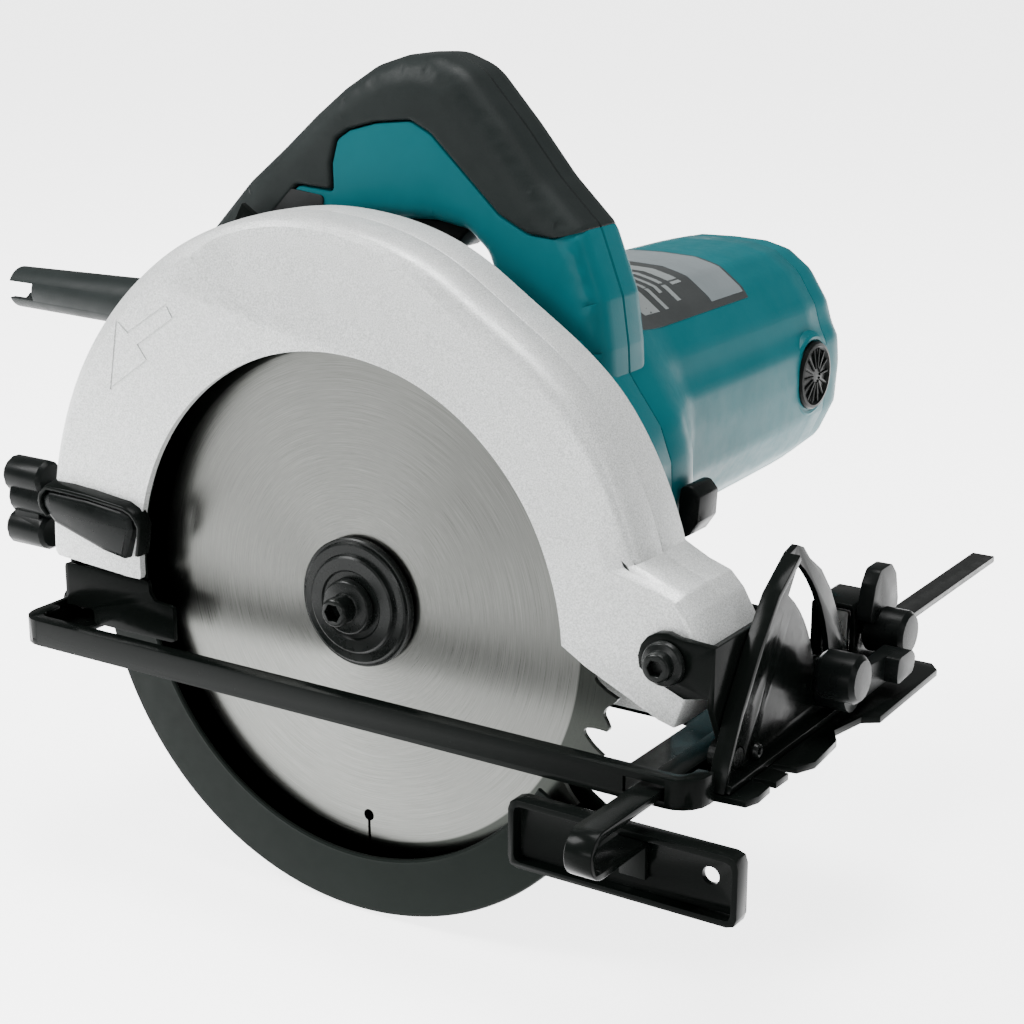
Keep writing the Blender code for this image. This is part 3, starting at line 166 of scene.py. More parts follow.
TEAL = moulded("teal_shell_look", (0.0002, 0.080, 0.094), 0.38, grain_s=0.14, mottle=0.04, edge=0.03, spec=0.09)
GRIP = moulded("soft_grip_look", (0.0095, 0.0125, 0.0120), 0.48, grain=1700.0, grain_s=0.25, mottle=0.08, edge=0.02, spec=0.09)
NYLON = moulded("black_nylon_look", (0.0030, 0.0040, 0.0037), 0.30, grain=1200.0, grain_s=0.10, mottle=0.10, edge=0.03, spec=0.07)
GLOSS = metal("black_paint_look", (0.0020, 0.0030, 0.0025), 0.20, metallic=0.0, grain=420.0, grain_s=0.03, edge=0.04, dark=0.85, spec=0.05)
GUARD = metal("guard_paint_look", (0.0050, 0.0072, 0.0060), 0.42, metallic=0.0, grain=700.0, grain_s=0.05, edge=0.04, dark=0.88, spec=0.03)
OXIDE = metal("black_oxide_look", (0.0045, 0.0058, 0.0052), 0.28, metallic=0.1, grain=800.0, grain_s=0.05, edge=0.08, spec=0.16)
STEEL = metal("bright_steel_look", (0.50, 0.50, 0.49), 0.28, grain=600.0, grain_s=0.08)
COPPER = metal("copper_look", (0.60, 0.27, 0.13), 0.32, grain=900.0, grain_s=0.1)
CARBON = moulded("carbon_look", (0.01, 0.01, 0.01), 0.7)
LABEL = moulded("label_look", (0.125, 0.145, 0.152), 0.42, grain=300.0, grain_s=0.02, mottle=0.05, edge=0.0)
LABEL_D = moulded("label_dark_look", (0.022, 0.025, 0.025), 0.40, grain=300.0, grain_s=0.02, mottle=0.05, edge=0.0)
LABEL_L = moulded("label_light_look", (0.16, 0.175, 0.175), 0.45, grain=300.0, grain_s=0.02, mottle=0.05, edge=0.0)
# painted shade: near-black look standing for the shade inside a recess
RECESS_SHADE = moulded("recess_shade_look", (0.0035, 0.0045, 0.0045), 0.5, spec=0.2)


def cast_look():
    """Silver-painted casting: fine grain in colour and bump, slightly darker in hollows as painted shade."""
    m = Mat("cast_case_look")
    grain = m.noise(2300.0, 2.0, 0.7)
    big = m.noise(26.0, 4.0, 0.55)
    c = m.mixc(m.ramp(grain, 0.32, 0.68, 0.0, 1.0), (0.36, 0.375, 0.368), (0.76, 0.775, 0.765))
    c2 = m.mixc(m.ramp(big, 0.35, 0.7, 0.0, 0.30), c, (0.52, 0.53, 0.52))
    # painted shade: concave spots (low pointiness) mixed towards dark grey, standing for shade in hollows
    c3 = m.mixc(m.ramp(m.n("ShaderNodeNewGeometry").outputs["Pointiness"], 0.44, 0.49, 0.35, 0.0), c2, (0.20, 0.205, 0.20))
    m.l(c3, m.b.inputs["Base Color"])
    m.b.inputs["Metallic"].default_value = 0.30
    m.l(m.ramp(m.noise(300.0, 4.0, 0.7), 0.3, 0.7, 0.34, 0.50), m.b.inputs["Roughness"])
    n1 = m.bump(m.noise(1500.0, 3.0, 0.7), 0.30, 0.00016)
    m.l(m.bump(m.noise(60.0, 2.0, 0.5), 0.05, 0.0015, n1), m.b.inputs["Normal"])
    return m.m


def blade_look():
    """Ground steel disc: fine rings round the arbor, anisotropic about it, darker outer band."""
    m = Mat("blade_steel_look")
    sep = m.n("ShaderNodeSeparateXYZ")
    m.l(m.tc.outputs["Object"], sep.inputs[0])
    zz = m.n("ShaderNodeMath", operation="SUBTRACT")
    m.l(sep.outputs["Z"], zz.inputs[0])
    zz.inputs[1].default_value = 0.027
    comb = m.n("ShaderNodeCombineXYZ")
    m.l(sep.outputs["X"], comb.inputs[0])
    m.l(zz.outputs[0], comb.inputs[1])
    ln = m.n("ShaderNodeVectorMath", operation="LENGTH")
    m.l(comb.outputs[0], ln.inputs[0])
    rad = ln.outputs["Value"]
    at = m.n("ShaderNodeMath", operation="ARCTAN2")
    m.l(zz.outputs[0], at.inputs[0])
    m.l(sep.outputs["X"], at.inputs[1])
    ring = m.n("ShaderNodeCombineXYZ")
    rs = m.n("ShaderNodeMath", operation="MULTIPLY")
    m.l(rad, rs.inputs[0])
    rs.inputs[1].default_value = 5200.0
    ths = m.n("ShaderNodeMath", operation="MULTIPLY")
    m.l(at.outputs[0], ths.inputs[0])
    ths.inputs[1].default_value = 2.2
    m.l(rs.outputs[0], ring.inputs[0])
    m.l(ths.outputs[0], ring.inputs[1])
    fine = m.noise(1.0, 3.0, 0.7, ring.outputs[0])
    ring2 = m.n("ShaderNodeCombineXYZ")
    rs2 = m.n("ShaderNodeMath", operation="MULTIPLY")
    m.l(rad, rs2.inputs[0])
    rs2.inputs[1].default_value = 1500.0
    m.l(rs2.outputs[0], ring2.inputs[0])
    ths2 = m.n("ShaderNodeMath", operation="MULTIPLY")
    m.l(at.outputs[0], ths2.inputs[0])
    ths2.inputs[1].default_value = 9.0
    m.l(ths2.outputs[0], ring2.inputs[1])
    coarse = m.noise(1.0, 2.0, 0.6, ring2.outputs[0])
    c = m.mixc(m.ramp(fine, 0.3, 0.7, 0.0, 1.0), (0.105, 0.108, 0.101), (0.180, 0.183, 0.173))
    c = m.mixc(m.ramp(coarse, 0.35, 0.75, 0.0, 0.25), c, (0.085, 0.087, 0.082))
    c = m.mixc(m.ramp(rad, 0.0786, 0.0792, 0.0, 0.90), c, (0.022, 0.025, 0.022))
    m.l(c, m.b.inputs["Base Color"])
    m.b.inputs["Metallic"].default_value = 1.0
    m.l(m.ramp(fine, 0.3, 0.7, 0.26, 0.36), m.b.inputs["Roughness"])
    m.b.inputs["Anisotropic"].default_value = 0.85
    tan = m.n("ShaderNodeTangent", direction_type="RADIAL", axis="Y")
    m.l(tan.outputs[0], m.b.inputs["Tangent"])
    m.l(m.bump(fine, 0.06, 0.00006), m.b.inputs["Normal"])
    return m.m


CAST = cast_look()
BLADE = blade_look()

LOOK = {"teal_shell": TEAL, "soft_grip": GRIP, "cast_case": CAST, "blade_steel": BLADE, "guard_paint": GUARD, "black_paint": GLOSS,
        "black_oxide": OXIDE, "bright_steel": STEEL, "black_nylon": NYLON, "copper": COPPER, "carbon": CARBON, "label": LABEL}

for nm, ob in frame["nodes"].items():
    ob.data.materials.clear()
    ob.data.materials.append(LOOK[SLOT[nm]])


# ---------------------------------------------------------------- mesh helpers
def new_obj(name, verts, faces, scaled=True):
    me = bpy.data.meshes.new(name)
    me.from_pydata([W(*v) if scaled else v for v in verts], [], faces)
    bm = bmesh.new()
    bm.from_mesh(me)
    bmesh.ops.remove_doubles(bm, verts=bm.verts, dist=1e-6)
    bmesh.ops.recalc_face_normals(bm, faces=bm.faces)
    if bm.calc_volume(signed=True) < 0:
        bmesh.ops.reverse_faces(bm, faces=bm.faces)
    bm.to_mesh(me)
    bm.free()
    ob = bpy.data.objects.new(name, me)
    COL.objects.link(ob)
    return ob


def put(axis, a, b, h):
    return (h, a, b) if axis == "x" else (a, h, b) if axis == "y" else (a, b, h)


def prism(name, axis, poly, h0, h1):
    n = len(poly)
    vs = [put(axis, a, b, h0) for a, b in poly] + [put(axis, a, b, h1) for a, b in poly]
    fs = [list(range(n))[::-1], [n + i for i in range(n)]]
    fs += [[i, (i + 1) % n, n + (i + 1) % n, n + i] for i in range(n)]
    return new_obj(name, vs, fs)


def box(name, x0, x1, y0, y1, z0, z1):
    return prism(name, "z", [(x0, y0), (x1, y0), (x1, y1), (x0, y1)], z0, z1)


def loft(name, axis, rings, heights, caps=(True, True)):
    n = len(rings[0])
    vs, fs = [], []
    for r, h in zip(rings, heights):
        vs += [put(axis, a, b, h) for a, b in r]
    for k in range(len(rings) - 1):
        for i in range(n):
            j = (i + 1) % n
            fs.append([k * n + i, k * n + j, (k + 1) * n + j, (k + 1) * n + i])
    if caps[0]:
        fs.append(list(range(n))[::-1])
    if caps[1]:
        fs.append([(len(rings) - 1) * n + i for i in range(n)])
    return new_obj(name, vs, fs)


def lathe(name, axis, centre, profile, seg=64, phase=0.0):
    rings, vs, fs = [], [], []
    for al, r in profile:
        if r <= 1e-9:
            rings.append([len(vs)])
            vs.append(put(axis, centre[0], centre[1], al))
        else:
            idx = []
            for i in range(seg):
                t = 2 * math.pi * (i + phase) / seg
                idx.append(len(vs))
                vs.append(put(axis, centre[0] + r * math.cos(t), centre[1] + r * math.sin(t), al))
            rings.append(idx)
    m = len(rings)
    for k in range(m):
        a, b = rings[k], rings[(k + 1) % m]
        if len(a) == 1 and len(b) == 1:
            continue
        for i in range(seg):
            j = (i + 1) % seg
            if len(a) == 1:
                fs.append([a[0], b[j], b[i]])
            elif len(b) == 1:
                fs.append([a[i], a[j], b[0]])
            else:
                fs.append([a[i], a[j], b[j], b[i]])
    return new_obj(name, vs, fs)


def tube(name, pts, r, seg=10, closed=False):
    """Round bar along points in the saw frame."""
    P = [Vector(p) for p in pts]
    n = len(P)
    vs, fs = [], []
    up = Vector((0.31, 0.17, 0.93)).normalized()
    for k in range(n):
        a = P[(k - 1) % n] if (closed or k > 0) else P[k]
        b = P[(k + 1) % n] if (closed or k < n - 1) else P[k]
        t = (b - a).normalized()
        u = t.cross(up)
        if u.length < 1e-4:
            u = t.cross(Vector((1, 0, 0)))
        u.normalize()
        v = t.cross(u)
        for i in range(seg):
            c = 2 * math.pi * i / seg
            vs.append(tuple(P[k] + (u * math.cos(c) + v * math.sin(c)) * r))
    m = n if closed else n - 1
    for k in range(m):
        for i in range(seg):
            j = (i + 1) % seg
            q = ((k + 1) % n) * seg
            fs.append([k * seg + i, k * seg + j, q + j, q + i])
    if not closed:
        fs.append(list(range(seg))[::-1])
        fs.append([(n - 1) * seg + i for i in range(seg)])
    return new_obj(name, vs, fs)


def boolean(ob, others, op):
    for o in others:
        md = ob.modifiers.new("b", "BOOLEAN")
        md.operation = op
        md.solver = "EXACT"
        md.object = o
        dg = bpy.context.evaluated_depsgraph_get()
        me = bpy.data.meshes.new_from_object(ob.evaluated_get(dg), depsgraph=dg)
        ob.modifiers.clear()
        ob.data = me
        bpy.data.objects.remove(o, do_unlink=True)
    return ob


def cut(ob, *o):
    return boolean(ob, o, "DIFFERENCE")


def join(ob, *o):
    return boolean(ob, o, "UNION")


def bevelled(ob, width, segs=2, angle=30.0, profile=0.5):
    """Applies an angle-limited bevel after cleaning flat triangulation."""
    bm = bmesh.new()
    bm.from_mesh(ob.data)
    bmesh.ops.remove_doubles(bm, verts=bm.verts, dist=2e-6)
    bmesh.ops.dissolve_degenerate(bm, edges=bm.edges, dist=1e-6)
    bmesh.ops.dissolve_limit(bm, angle_limit=math.radians(0.6), verts=bm.verts, edges=bm.edges)
    bm.to_mesh(ob.data)
    bm.free()
    if width > 0:
        md = ob.modifiers.new("bev", "BEVEL")
        md.width = width * 0.001
        md.segments = segs
        md.limit_method = "ANGLE"
        md.angle_limit = math.radians(angle)
        md.profile = profile
        md.harden_normals = False
        dg = bpy.context.evaluated_depsgraph_get()
        me = bpy.data.meshes.new_from_object(ob.evaluated_get(dg), depsgraph=dg)
        ob.modifiers.clear()
        ob.data = me
    return ob


def smooth(ob, angle=35.0):
    ob.data.shade_smooth()
    ob.data.set_sharp_from_angle(angle=math.radians(angle))
    return ob


def arc(cx, cz, r, a0, a1, n):
    return [(cx + r * math.cos(math.radians(a0 + (a1 - a0) * i / n)),
             cz + r * math.sin(math.radians(a0 + (a1 - a0) * i / n))) for i in range(n + 1)]


def polar(r, deg, c=(0.0, 0.0)):
    return (c[0] + r * math.cos(math.radians(deg)), c[1] + r * math.sin(math.radians(deg)))


def rounded(poly, r, n=4):
    out = []
    m = len(poly)
    rr = r if isinstance(r, (list, tuple)) else [r] * m
    for i in range(m):
        p0, p, p1 = Vector(poly[i - 1]), Vector(poly[i]), Vector(poly[(i + 1) % m])
        a, b = (p0 - p), (p1 - p)
        la, lb = a.length, b.length
        a.normalize()
        b.normalize()
        ang = a.angle(b)
        if ang > math.radians(176) or rr[i] <= 0:
            out.append((p.x, p.y))
            continue
        d = min(rr[i] / math.tan(ang / 2), 0.48 * la, 0.48 * lb)
        s, e = p + a * d, p + b * d
        for k in range(n + 1):
            t = k / n
            q = s * (1 - t) * (1 - t) + p * 2 * t * (1 - t) + e * t * t
            out.append((q.x, q.y))
    return out


def inset(poly, d):
    n = len(poly)
    area = sum(poly[i][0] * poly[(i + 1) % n][1] - poly[(i + 1) % n][0] * poly[i][1] for i in range(n))
    s = 1.0 if area > 0 else -1.0
    out = []
    for i in range(n):
        a, p, c = Vector(poly[i - 1]), Vector(poly[i]), Vector(poly[(i + 1) % n])
        e0, e1 = (p - a).normalized(), (c - p).normalized()
        n0, n1 = Vector((-e0.y, e0.x)) * s, Vector((-e1.y, e1.x)) * s
        bis = n0 + n1
        bis.normalize()
        k = d / max(0.5, bis.dot(n0))
        out.append((p.x + bis.x * k, p.y + bis.y * k))
    return out


def lerp(table, x):
    if x <= table[0][0]:
        return table[0][1]
    for (a, va), (b, vb) in zip(table, table[1:]):
        if x <= b:
            return va + (vb - va) * (x - a) / (b - a)
    return table[-1][1]


def soft(table, x, w=5.0):
    """Table value averaged over a few degrees, so its corners are gone."""
    ks = (-1.0, -0.5, 0.0, 0.5, 1.0)
    ws = (0.12, 0.23, 0.30, 0.23, 0.12)
    return sum(q * lerp(table, x + k * w) for k, q in zip(ks, ws))


def inside(poly, x, y):
    c = False
    n = len(poly)
    for i in range(n):
        (x0, y0), (x1, y1) = poly[i - 1], poly[i]
        if (y0 > y) != (y1 > y) and x < (x1 - x0) * (y - y0) / (y1 - y0) + x0:
            c = not c
    return c


def seg_dist(px, py, segs):
    """Distances from points to the nearest of the segments."""
    best = np.full(len(px), 1e9)
    for (ax, ay), (bx, by) in segs:
        dx, dy = bx - ax, by - ay
        L2 = dx * dx + dy * dy
        if L2 < 1e-12:
            continue
        t = np.clip(((px - ax) * dx + (py - ay) * dy) / L2, 0, 1)
        best = np.minimum(best, np.hypot(px - ax - t * dx, py - ay - t * dy))
    return best


def resample(poly, step):
    out = []
    n = len(poly)
    for i in range(n):
        a, b = poly[i], poly[(i + 1) % n]
        L = math.hypot(b[0] - a[0], b[1] - a[1])
        k = max(1, int(L / step + 0.5))
        for j in range(k):
            out.append((a[0] + (b[0] - a[0]) * j / k, a[1] + (b[1] - a[1]) * j / k))
    return out


def pillow(name, poly, y_mid, y_out, sets, step=1.7, seam=0.45, crown=0.0):
    """Solid between the parting plane y_mid and the side face y_out, rounded over towards the listed edges.
    sets: [(segments, radius)...]; the side face drops away from y_out near each set's segments."""
    d = 1.0 if y_mid > y_out else -1.0
    H = abs(y_mid - y_out)
    b = resample(poly, step)
    nb = len(b)
    xs = [p[0] for p in poly]
    zs = [p[1] for p in poly]
    pts = []
    x = min(xs)
    row = 0
    bx = np.array([p[0] for p in b])
    bz = np.array([p[1] for p in b])
    while x < max(xs):
        z = min(zs) + (0.5 * step if row % 2 else 0.0)
        while z < max(zs):
            if inside(poly, x, z) and np.min(np.hypot(bx - x, bz - z)) > 5.2:
                pts.append((x, z))
            z += step
        x += step * 0.87
        row += 1
    # rings of points close to the boundary, so that the rounding is smooth there
    bsegs = [(b[i], b[(i + 1) % nb]) for i in range(nb)]
    for off in (0.22, 0.6, 1.15, 1.9, 2.9, 4.1):
        ringp = [q for q in inset(b, off) if inside(poly, q[0], q[1])]
        dq = seg_dist(np.array([q[0] for q in ringp]), np.array([q[1] for q in ringp]), bsegs)
        pts += [q for q, e in zip(ringp, dq) if e > 0.93 * off]
    co = [Vector(p) for p in b] + [Vector(p) for p in pts]
    res = delaunay_2d_cdt(co, [], [list(range(nb))], 1, 1e-4)
    vv, _, ff = res[0], res[1], res[2]
    px = np.array([v[0] for v in vv])
    pz = np.array([v[1] for v in vv])
    drop = np.zeros(len(px))
    for segs, R in sets:
        dd = seg_dist(px, pz, segs)
        t = np.clip(1 - dd / R, 0, 1)
        drop = np.maximum(drop, R - R * np.sqrt(np.clip(1 - t * t, 0, 1)))
    # ease the creases along the ridge lines
    nbr = [set() for _ in vv]
    for f in ff:
        for i in range(len(f)):
            nbr[f[i]].add(f[(i + 1) % len(f)])
            nbr[f[(i + 1) % len(f)]].add(f[i])
    onb = set()
    from_b = seg_dist(px, pz, [(poly[i], poly[(i + 1) % len(poly)]) for i in range(len(poly))])
    for i in range(len(vv)):
        if from_b[i] < 1e-3:
            onb.add(i)
    for _ in range(3):
        nd = drop.copy()
        for i in range(len(vv)):
            if i not in onb and nbr[i] and from_b[i] > 1.5 * step:
                nd[i] = 0.5 * drop[i] + 0.5 * sum(drop[j] for j in nbr[i]) / len(nbr[i])
        drop = nd
    verts = [(px[i], y_out + d * min(drop[i], H - 0.2), pz[i]) for i in range(len(vv))]
    faces = [list(f) for f in ff]
    # outline loop in order, from the boundary edges
    cnt = {}
    for f in faces:
        for i in range(len(f)):
            e = (f[i], f[(i + 1) % len(f)])
            cnt[e] = cnt.get(e, 0) + 1
    bd = {a: bb for (a, bb) in cnt if (bb, a) not in cnt}
    start = next(iter(bd))
    loop = [start]
    while bd.get(loop[-1]) is not None and bd[loop[-1]] != start and len(loop) < len(bd) + 2:
        loop.append(bd[loop[-1]])
    ring = [(float(px[i]), float(pz[i])) for i in loop]
    ins = inset(ring, seam)
    base = len(verts)
    m = len(loop)
    verts += [(p[0], y_mid - d * seam, p[1]) for p in ring]
    verts += [(p[0], y_mid, p[1]) for p in ins]
    for i in range(m):
        j = (i + 1) % m
        faces.append([loop[i], base + i, base + j, loop[j]])
        faces.append([base + i, base + m + i, base + m + j, base + j])
    faces.append([base + m + i for i in range(m)])
    return new_obj(name, verts, faces)


def show(ob, name, mat, body, reps=(), angle=35.0):
    ob.name = name
    ob.data.name = name
    ob.data.materials.clear()
    ob.data.materials.append(mat)
    smooth(ob, angle)
    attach(ob, body)
    for r in reps:
        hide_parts(r)
    return ob


def dress(node, width, segs=2, mat=None, angle=30.0, sh=35.0):
    """Bevelled copy of a CAD node that stands for it."""
    src = frame["nodes"][node]
    ob = bpy.data.objects.new("v_" + node, src.data.copy())
    COL.objects.link(ob)
    bevelled(ob, width, segs, angle)
    return show(ob, "v_" + node, mat or LOOK[SLOT[node]], BODY[node], [node], sh)


PX, PZ = 115.0, 8.0
MX, MZ = 24.0, 46.0

# ---------------------------------------------------------------- black sheet metal: bevelled copies
dress("base_plate", 0.55, 2)
dress("bevel_quadrant", 0.5, 2)
dress("front_bracket", 0.7, 2)
dress("depth_guide", 0.5, 2)
dress("fence_clamp_arch", 0.5, 2)
dress("fence_plate", 0.5, 2)
dress("fence_bar", 0.35, 2)
dress("fence_clamp_shoe", 0.4, 1)
dress("bevel_clamp_lever", 0.9, 3)
dress("fence_screw", 0.9, 3)
kb = frame["nodes"]["depth_clamp_knob"]
ob = bpy.data.objects.new("v_depth_clamp_knob", kb.data.copy())
COL.objects.link(ob)
for v in ob.data.vertices:
    if v.co.x < -0.003:
        v.co.x += 0.0022
bevelled(ob, 0.8, 3)
show(ob, "v_depth_clamp_knob", NYLON, BODY["depth_clamp_knob"], ["depth_clamp_knob"])
hood_o = [(-117.4, 11.5), (-120.2, 14.2), (-120.9, 16.6), (-120.2, 19.2), (-117.3, 22.2), (-108.0, 22.2), (-99.3, 21.9), (-83.3, 20.5), (-79.6, 19.2),
          (-77.3, 17.0), (-75.9, 14.4), (-76.6, 9.0), (-77.5, 4.5)]
hood_i = [(-116.9, 12.6), (-118.9, 14.6), (-119.5, 16.6), (-118.9, 18.6), (-116.7, 20.9), (-108.0, 20.9), (-99.4, 20.6), (-83.5, 19.2), (-80.5, 18.2),
          (-78.6, 16.4), (-77.4, 14.2), (-78.0, 9.0), (-78.9, 4.6)]
hood_b = [(a + 1.8 * (1.0 - abs(k - 5) / 9.0), b + 2.1 * max(0.0, 1.0 - abs(k - 5) / 7.0)) for k, (a, b) in enumerate(hood_o)]
hood_c = [(a + 1.8 * (1.0 - abs(k - 5) / 9.0), b + 2.1 * max(0.0, 1.0 - abs(k - 5) / 7.0)) for k, (a, b) in enumerate(hood_i)]
hood = loft("hood", "y", [hood_o + hood_i[::-1], hood_b + hood_c[::-1]], [-15.6, -10.6])
bevelled(hood, 0.35, 2, 40.0)
show(hood, "v_clamp_band", GLOSS, "saw_body", ["clamp_band"])
padp = rounded([(-116.9, 11.9), (-119.2, 15.0), (-119.0, 18.2), (-116.4, 20.4), (-99.2, 20.1), (-84.6, 18.7), (-80.6, 17.2), (-79.9, 13.0), (-83.4, 2.2),
                (-93.6, 3.7), (-114.4, 9.6)], 1.6, 3)
padm = loft("pad", "y", [padp, inset(padp, 0.25), inset(padp, 0.9), inset(padp, 2.0)][::-1], [-15.2, -14.9, -14.2, -12.05])
show(padm, "v_clamp_pad", NYLON, "saw_body", ["clamp_pad"])
sl = frame["nodes"]["shaft_lock"]
ob = bpy.data.objects.new("v_shaft_lock", sl.data.copy())
COL.objects.link(ob)
zs = [v.co.z for v in ob.data.vertices]
zc = (min(zs) + max(zs)) / 2
for v in ob.data.vertices:
    v.co.x -= 0.0002
    v.co.z = zc - 0.0008 + (v.co.z - zc) * 0.80
bevelled(ob, 0.6, 2)
show(ob, "v_shaft_lock", NYLON, BODY["shaft_lock"], ["shaft_lock"])
dress("trigger", 0.8, 2)
dress("depth_pivot_nut", 0.4, 2)
dress("depth_clamp_bolt", 0.3, 1)
dress("bevel_clamp_bolt", 0.4, 2)
dress("gear_housing", 0.5, 2)

# ---------------------------------------------------------------- blade case
R_OUT = [(4, 107.0), (9, 107.5), (23, 108.0), (42, 109.6), (54, 108.6), (61, 108.6), (66, 109.8), (74, 113.3),
         (83, 116.0), (93, 118.4), (103, 121.3), (120, 123.0), (150, 123.0), (180, 121.6), (186, 121.4)]
R_SH = [(6, 102.5), (20, 98.5), (34, 96.5), (50, 96.5), (60, 98.0), (66, 100.2), (74, 105.8), (84, 111.8),
        (93, 114.4), (103, 116.0), (120, 117.2), (180, 117.4)]
TH = [180.6 - 1.7 * i for i in range(97)]
NOSE = rounded([(110.0, 28.6), (117.2, 26.2), (121.6, 21.6), (125.0, 15.6), (127.0, 12.2), (127.9, 8.0), (126.0, 1.5), (122.0, -3.0)],
               [0, 3, 4, 3, 3, 3, 3, 0], 3)


def case_ring(f, dr, drop_nose):
    """f: share of the way from shoulder to rim; dr: extra radius; drop_nose: how far the nose is drawn in."""
    pts = []
    for t in TH:
        a, b = soft(R_SH, t), soft(R_OUT, t)
        pts.append(polar(a + f * (b - a) + dr, t))
    nose = inset([(60.0, 0.0)] + NOSE[::-1] + [(60.0, 20.0)], drop_nose)
    nose = nose[1:-1][::-1]
    pts += nose
    pts += [(117.4 - drop_nose * 0.3, -12.1 + 0.1 * drop_nose), (100.0, -22.6), (-83.0, -22.6), (-87.0, -4.2)]
    pts += [(pts[0][0] + 1.0, -2.4)]
    return pts


CREASE = [(16, 79.0), (60, 78.6), (72, 79.0), (92.7, 82.1), (109.4, 93.2), (113.2, 103.4), (116.3, 112.6), (119, 114.6), (181, 115.2)]


def facet(t):
    """How much of the sloping front facet there is at this angle: none on the rear half, all of it over the top and front."""
    if t >= 118.0:
        return 0.0
    if t >= 112.0:
        return (118.0 - t) / 6.0
    return min(1.0, max(0.0, (t - 18.0) / 14.0))


CR = [(0.0, -1.3, 3.4, -12.0, 1.5), (0.0, -0.4, 2.8, -11.85, 1.45), (0.0, 0.5, 2.2, -11.35, 1.3), (0.34, 0.0, 1.6, -10.1, 0.7), (0.62, 0.0, 1.1, -8.9, 0.3),
      (0.76, 0.0, 0.75, -8.0, 0.1), (0.86, 0.0, 0.45, -6.6, 0.0), (0.93, 0.0, 0.22, -4.4, 0.0), (0.975, 0.0, 0.08, -1.0, 0.0), (1.0, 0.0, 0.0, 4.2, 0.0),
      (1.0, -0.25, 0.15, 5.0, 0.0), (1.0, -0.05, 0.0, 5.8, 0.0), (1.0, -0.3, 0.1, 14.0, 0.0), (1.0, -0.8, 0.5, 19.3, 0.0), (1.0, -1.3, 1.0, 20.0, 0.0)]
case = loft("v_blade_case", "y", [case_ring(f, dr, dn) for f, dr, dn, y, fy in CR], [c[3] for c in CR])
hollow = ([polar(soft(R_OUT, t) - 3.4, t) for t in TH[4:-3]] + [(103.6, 27.0), (103.4, -40.0), (-118.0, -40.0), (-118.0, 3.0)])
hollow2 = ([polar(min(soft(R_SH, t) + 1.6, soft(R_OUT, t) - 3.4), t) for t in TH[4:-3]] + [(103.6, 27.0), (103.4, -40.0), (-118.0, -40.0), (-118.0, 3.0)])
cut(case, prism("c", "y", hollow, -7.95, 17.4))
cut(case, prism("c", "y", hollow2, -9.6, -7.9))
FBEND, FLOW, FTIP = (87.8, 0.3), (111.6, -10.6), (117.4, -12.1)
face_cut = (arc(0, 0, 80.0, 3.6, 182.2, 120) + [(-80.5, -4.3), (-119.0, -4.4), (-125.0, -40.0), (135.0, -40.0), FTIP, FLOW, FBEND])
cut(case, prism("c", "y", face_cut, -16.0, -9.0))
cut(case, prism("c", "y", [(97.0, -30.0), (97.0, -5.5), (103.6, -7.2), (112.0, -10.9), (117.6, -12.4), (130.0, -12.4), (130.0, -30.0)], -9.3, 21.0))
cut(case, lathe("c", "y", (0, 0), [(15, 0), (15, 24.6), (23, 24.6), (23, 0)], 64))
cut(case, lathe("c", "y", (PX, PZ), [(-14, 0), (-14, 3.3), (22, 3.3), (22, 0)], 32))
cut(case, lathe("c", "y", (-85.0, PZ), [(15, 0), (15, 2.3), (22, 2.3), (22, 0)], 24))
# sloping facet from a crease on the face out to the shoulder, over the top and the front
fa = [117.0 - 1.5 * i for i in range(67)]
vs, fs = [], []
for t in fa:
    rc, ro, d = min(lerp(CREASE, t), soft(R_SH, t) - 1.9), soft(R_SH, t) + 7.0, facet(t)
    for r, y in ((rc, -12.04), (rc + 2.6, -12.04 + max(0.02, 0.85 * d)), (ro, -12.03 + max(0.03, 1.95 * d)), (ro, -16.0), (rc, -16.0)):
        q = polar(r, t)
        vs.append((q[0], y, q[1]))
for i in range(len(fa) - 1):
    for k in range(5):
        l = (k + 1) % 5
        fs.append([i * 5 + k, i * 5 + l, i * 5 + 5 + l, i * 5 + 5 + k])
fs.append([4, 3, 2, 1, 0])
fs.append([(len(fa) - 1) * 5 + k for k in range(5)])
cut(case, new_obj("c", vs, fs))
# moulded-in turning arrow: a fine engraved outline on the face
arrow = [(-88.5, 58.0), (-84.5, 80.5), (-80.0, 77.0), (-63.5, 87.5), (-61.0, 83.5), (-76.0, 73.5), (-72.5, 69.0)]
for k in range(len(arrow)):
    (xa, za), (xb, zb) = arrow[k], arrow[(k + 1) % len(arrow)]
    L = math.hypot(xb - xa, zb - za)
    ux, uz = (xb - xa) / L * 0.34, (zb - za) / L * 0.34
    cut(case, prism("c", "y", [(xa - ux - uz, za - uz + ux), (xb + ux - uz, zb + uz + ux), (xb + ux + uz, zb + uz - ux),
                               (xa - ux + uz, za - uz - ux)], -13.0, -11.7))
show(case, "v_blade_case", CAST, "saw_body", ["blade_case"], 28.0)

# ---------------------------------------------------------------- lower guard
prof = [(22.0, 10.2), (99.6, 10.2), (100.5, 9.9), (101.0, 9.1), (101.0, -6.5), (100.6, -7.3), (99.8, -7.6), (83.6, -7.6), (82.6, -7.9), (81.9, -7.6),
        (81.7, -6.8), (82.2, -6.2), (99.4, -6.2), (99.4, 8.7), (22.0, 8.7)]
NG = 176
vs, fs = [], []
for i in range(NG + 1):
    a = math.radians(-32.0 - 176.0 * i / NG)
    for r, y in prof:
        vs.append((r * math.cos(a), y, r * math.sin(a)))
m_ = len(prof)
for i in range(NG):
    for k in range(m_):
        l = (k + 1) % m_
        fs.append([i * m_ + k, i * m_ + l, (i + 1) * m_ + l, (i + 1) * m_ + k])
fs.append(list(range(m_))[::-1])
fs.append([NG * m_ + k for k in range(m_)])
lg = new_obj("lg", vs, fs)
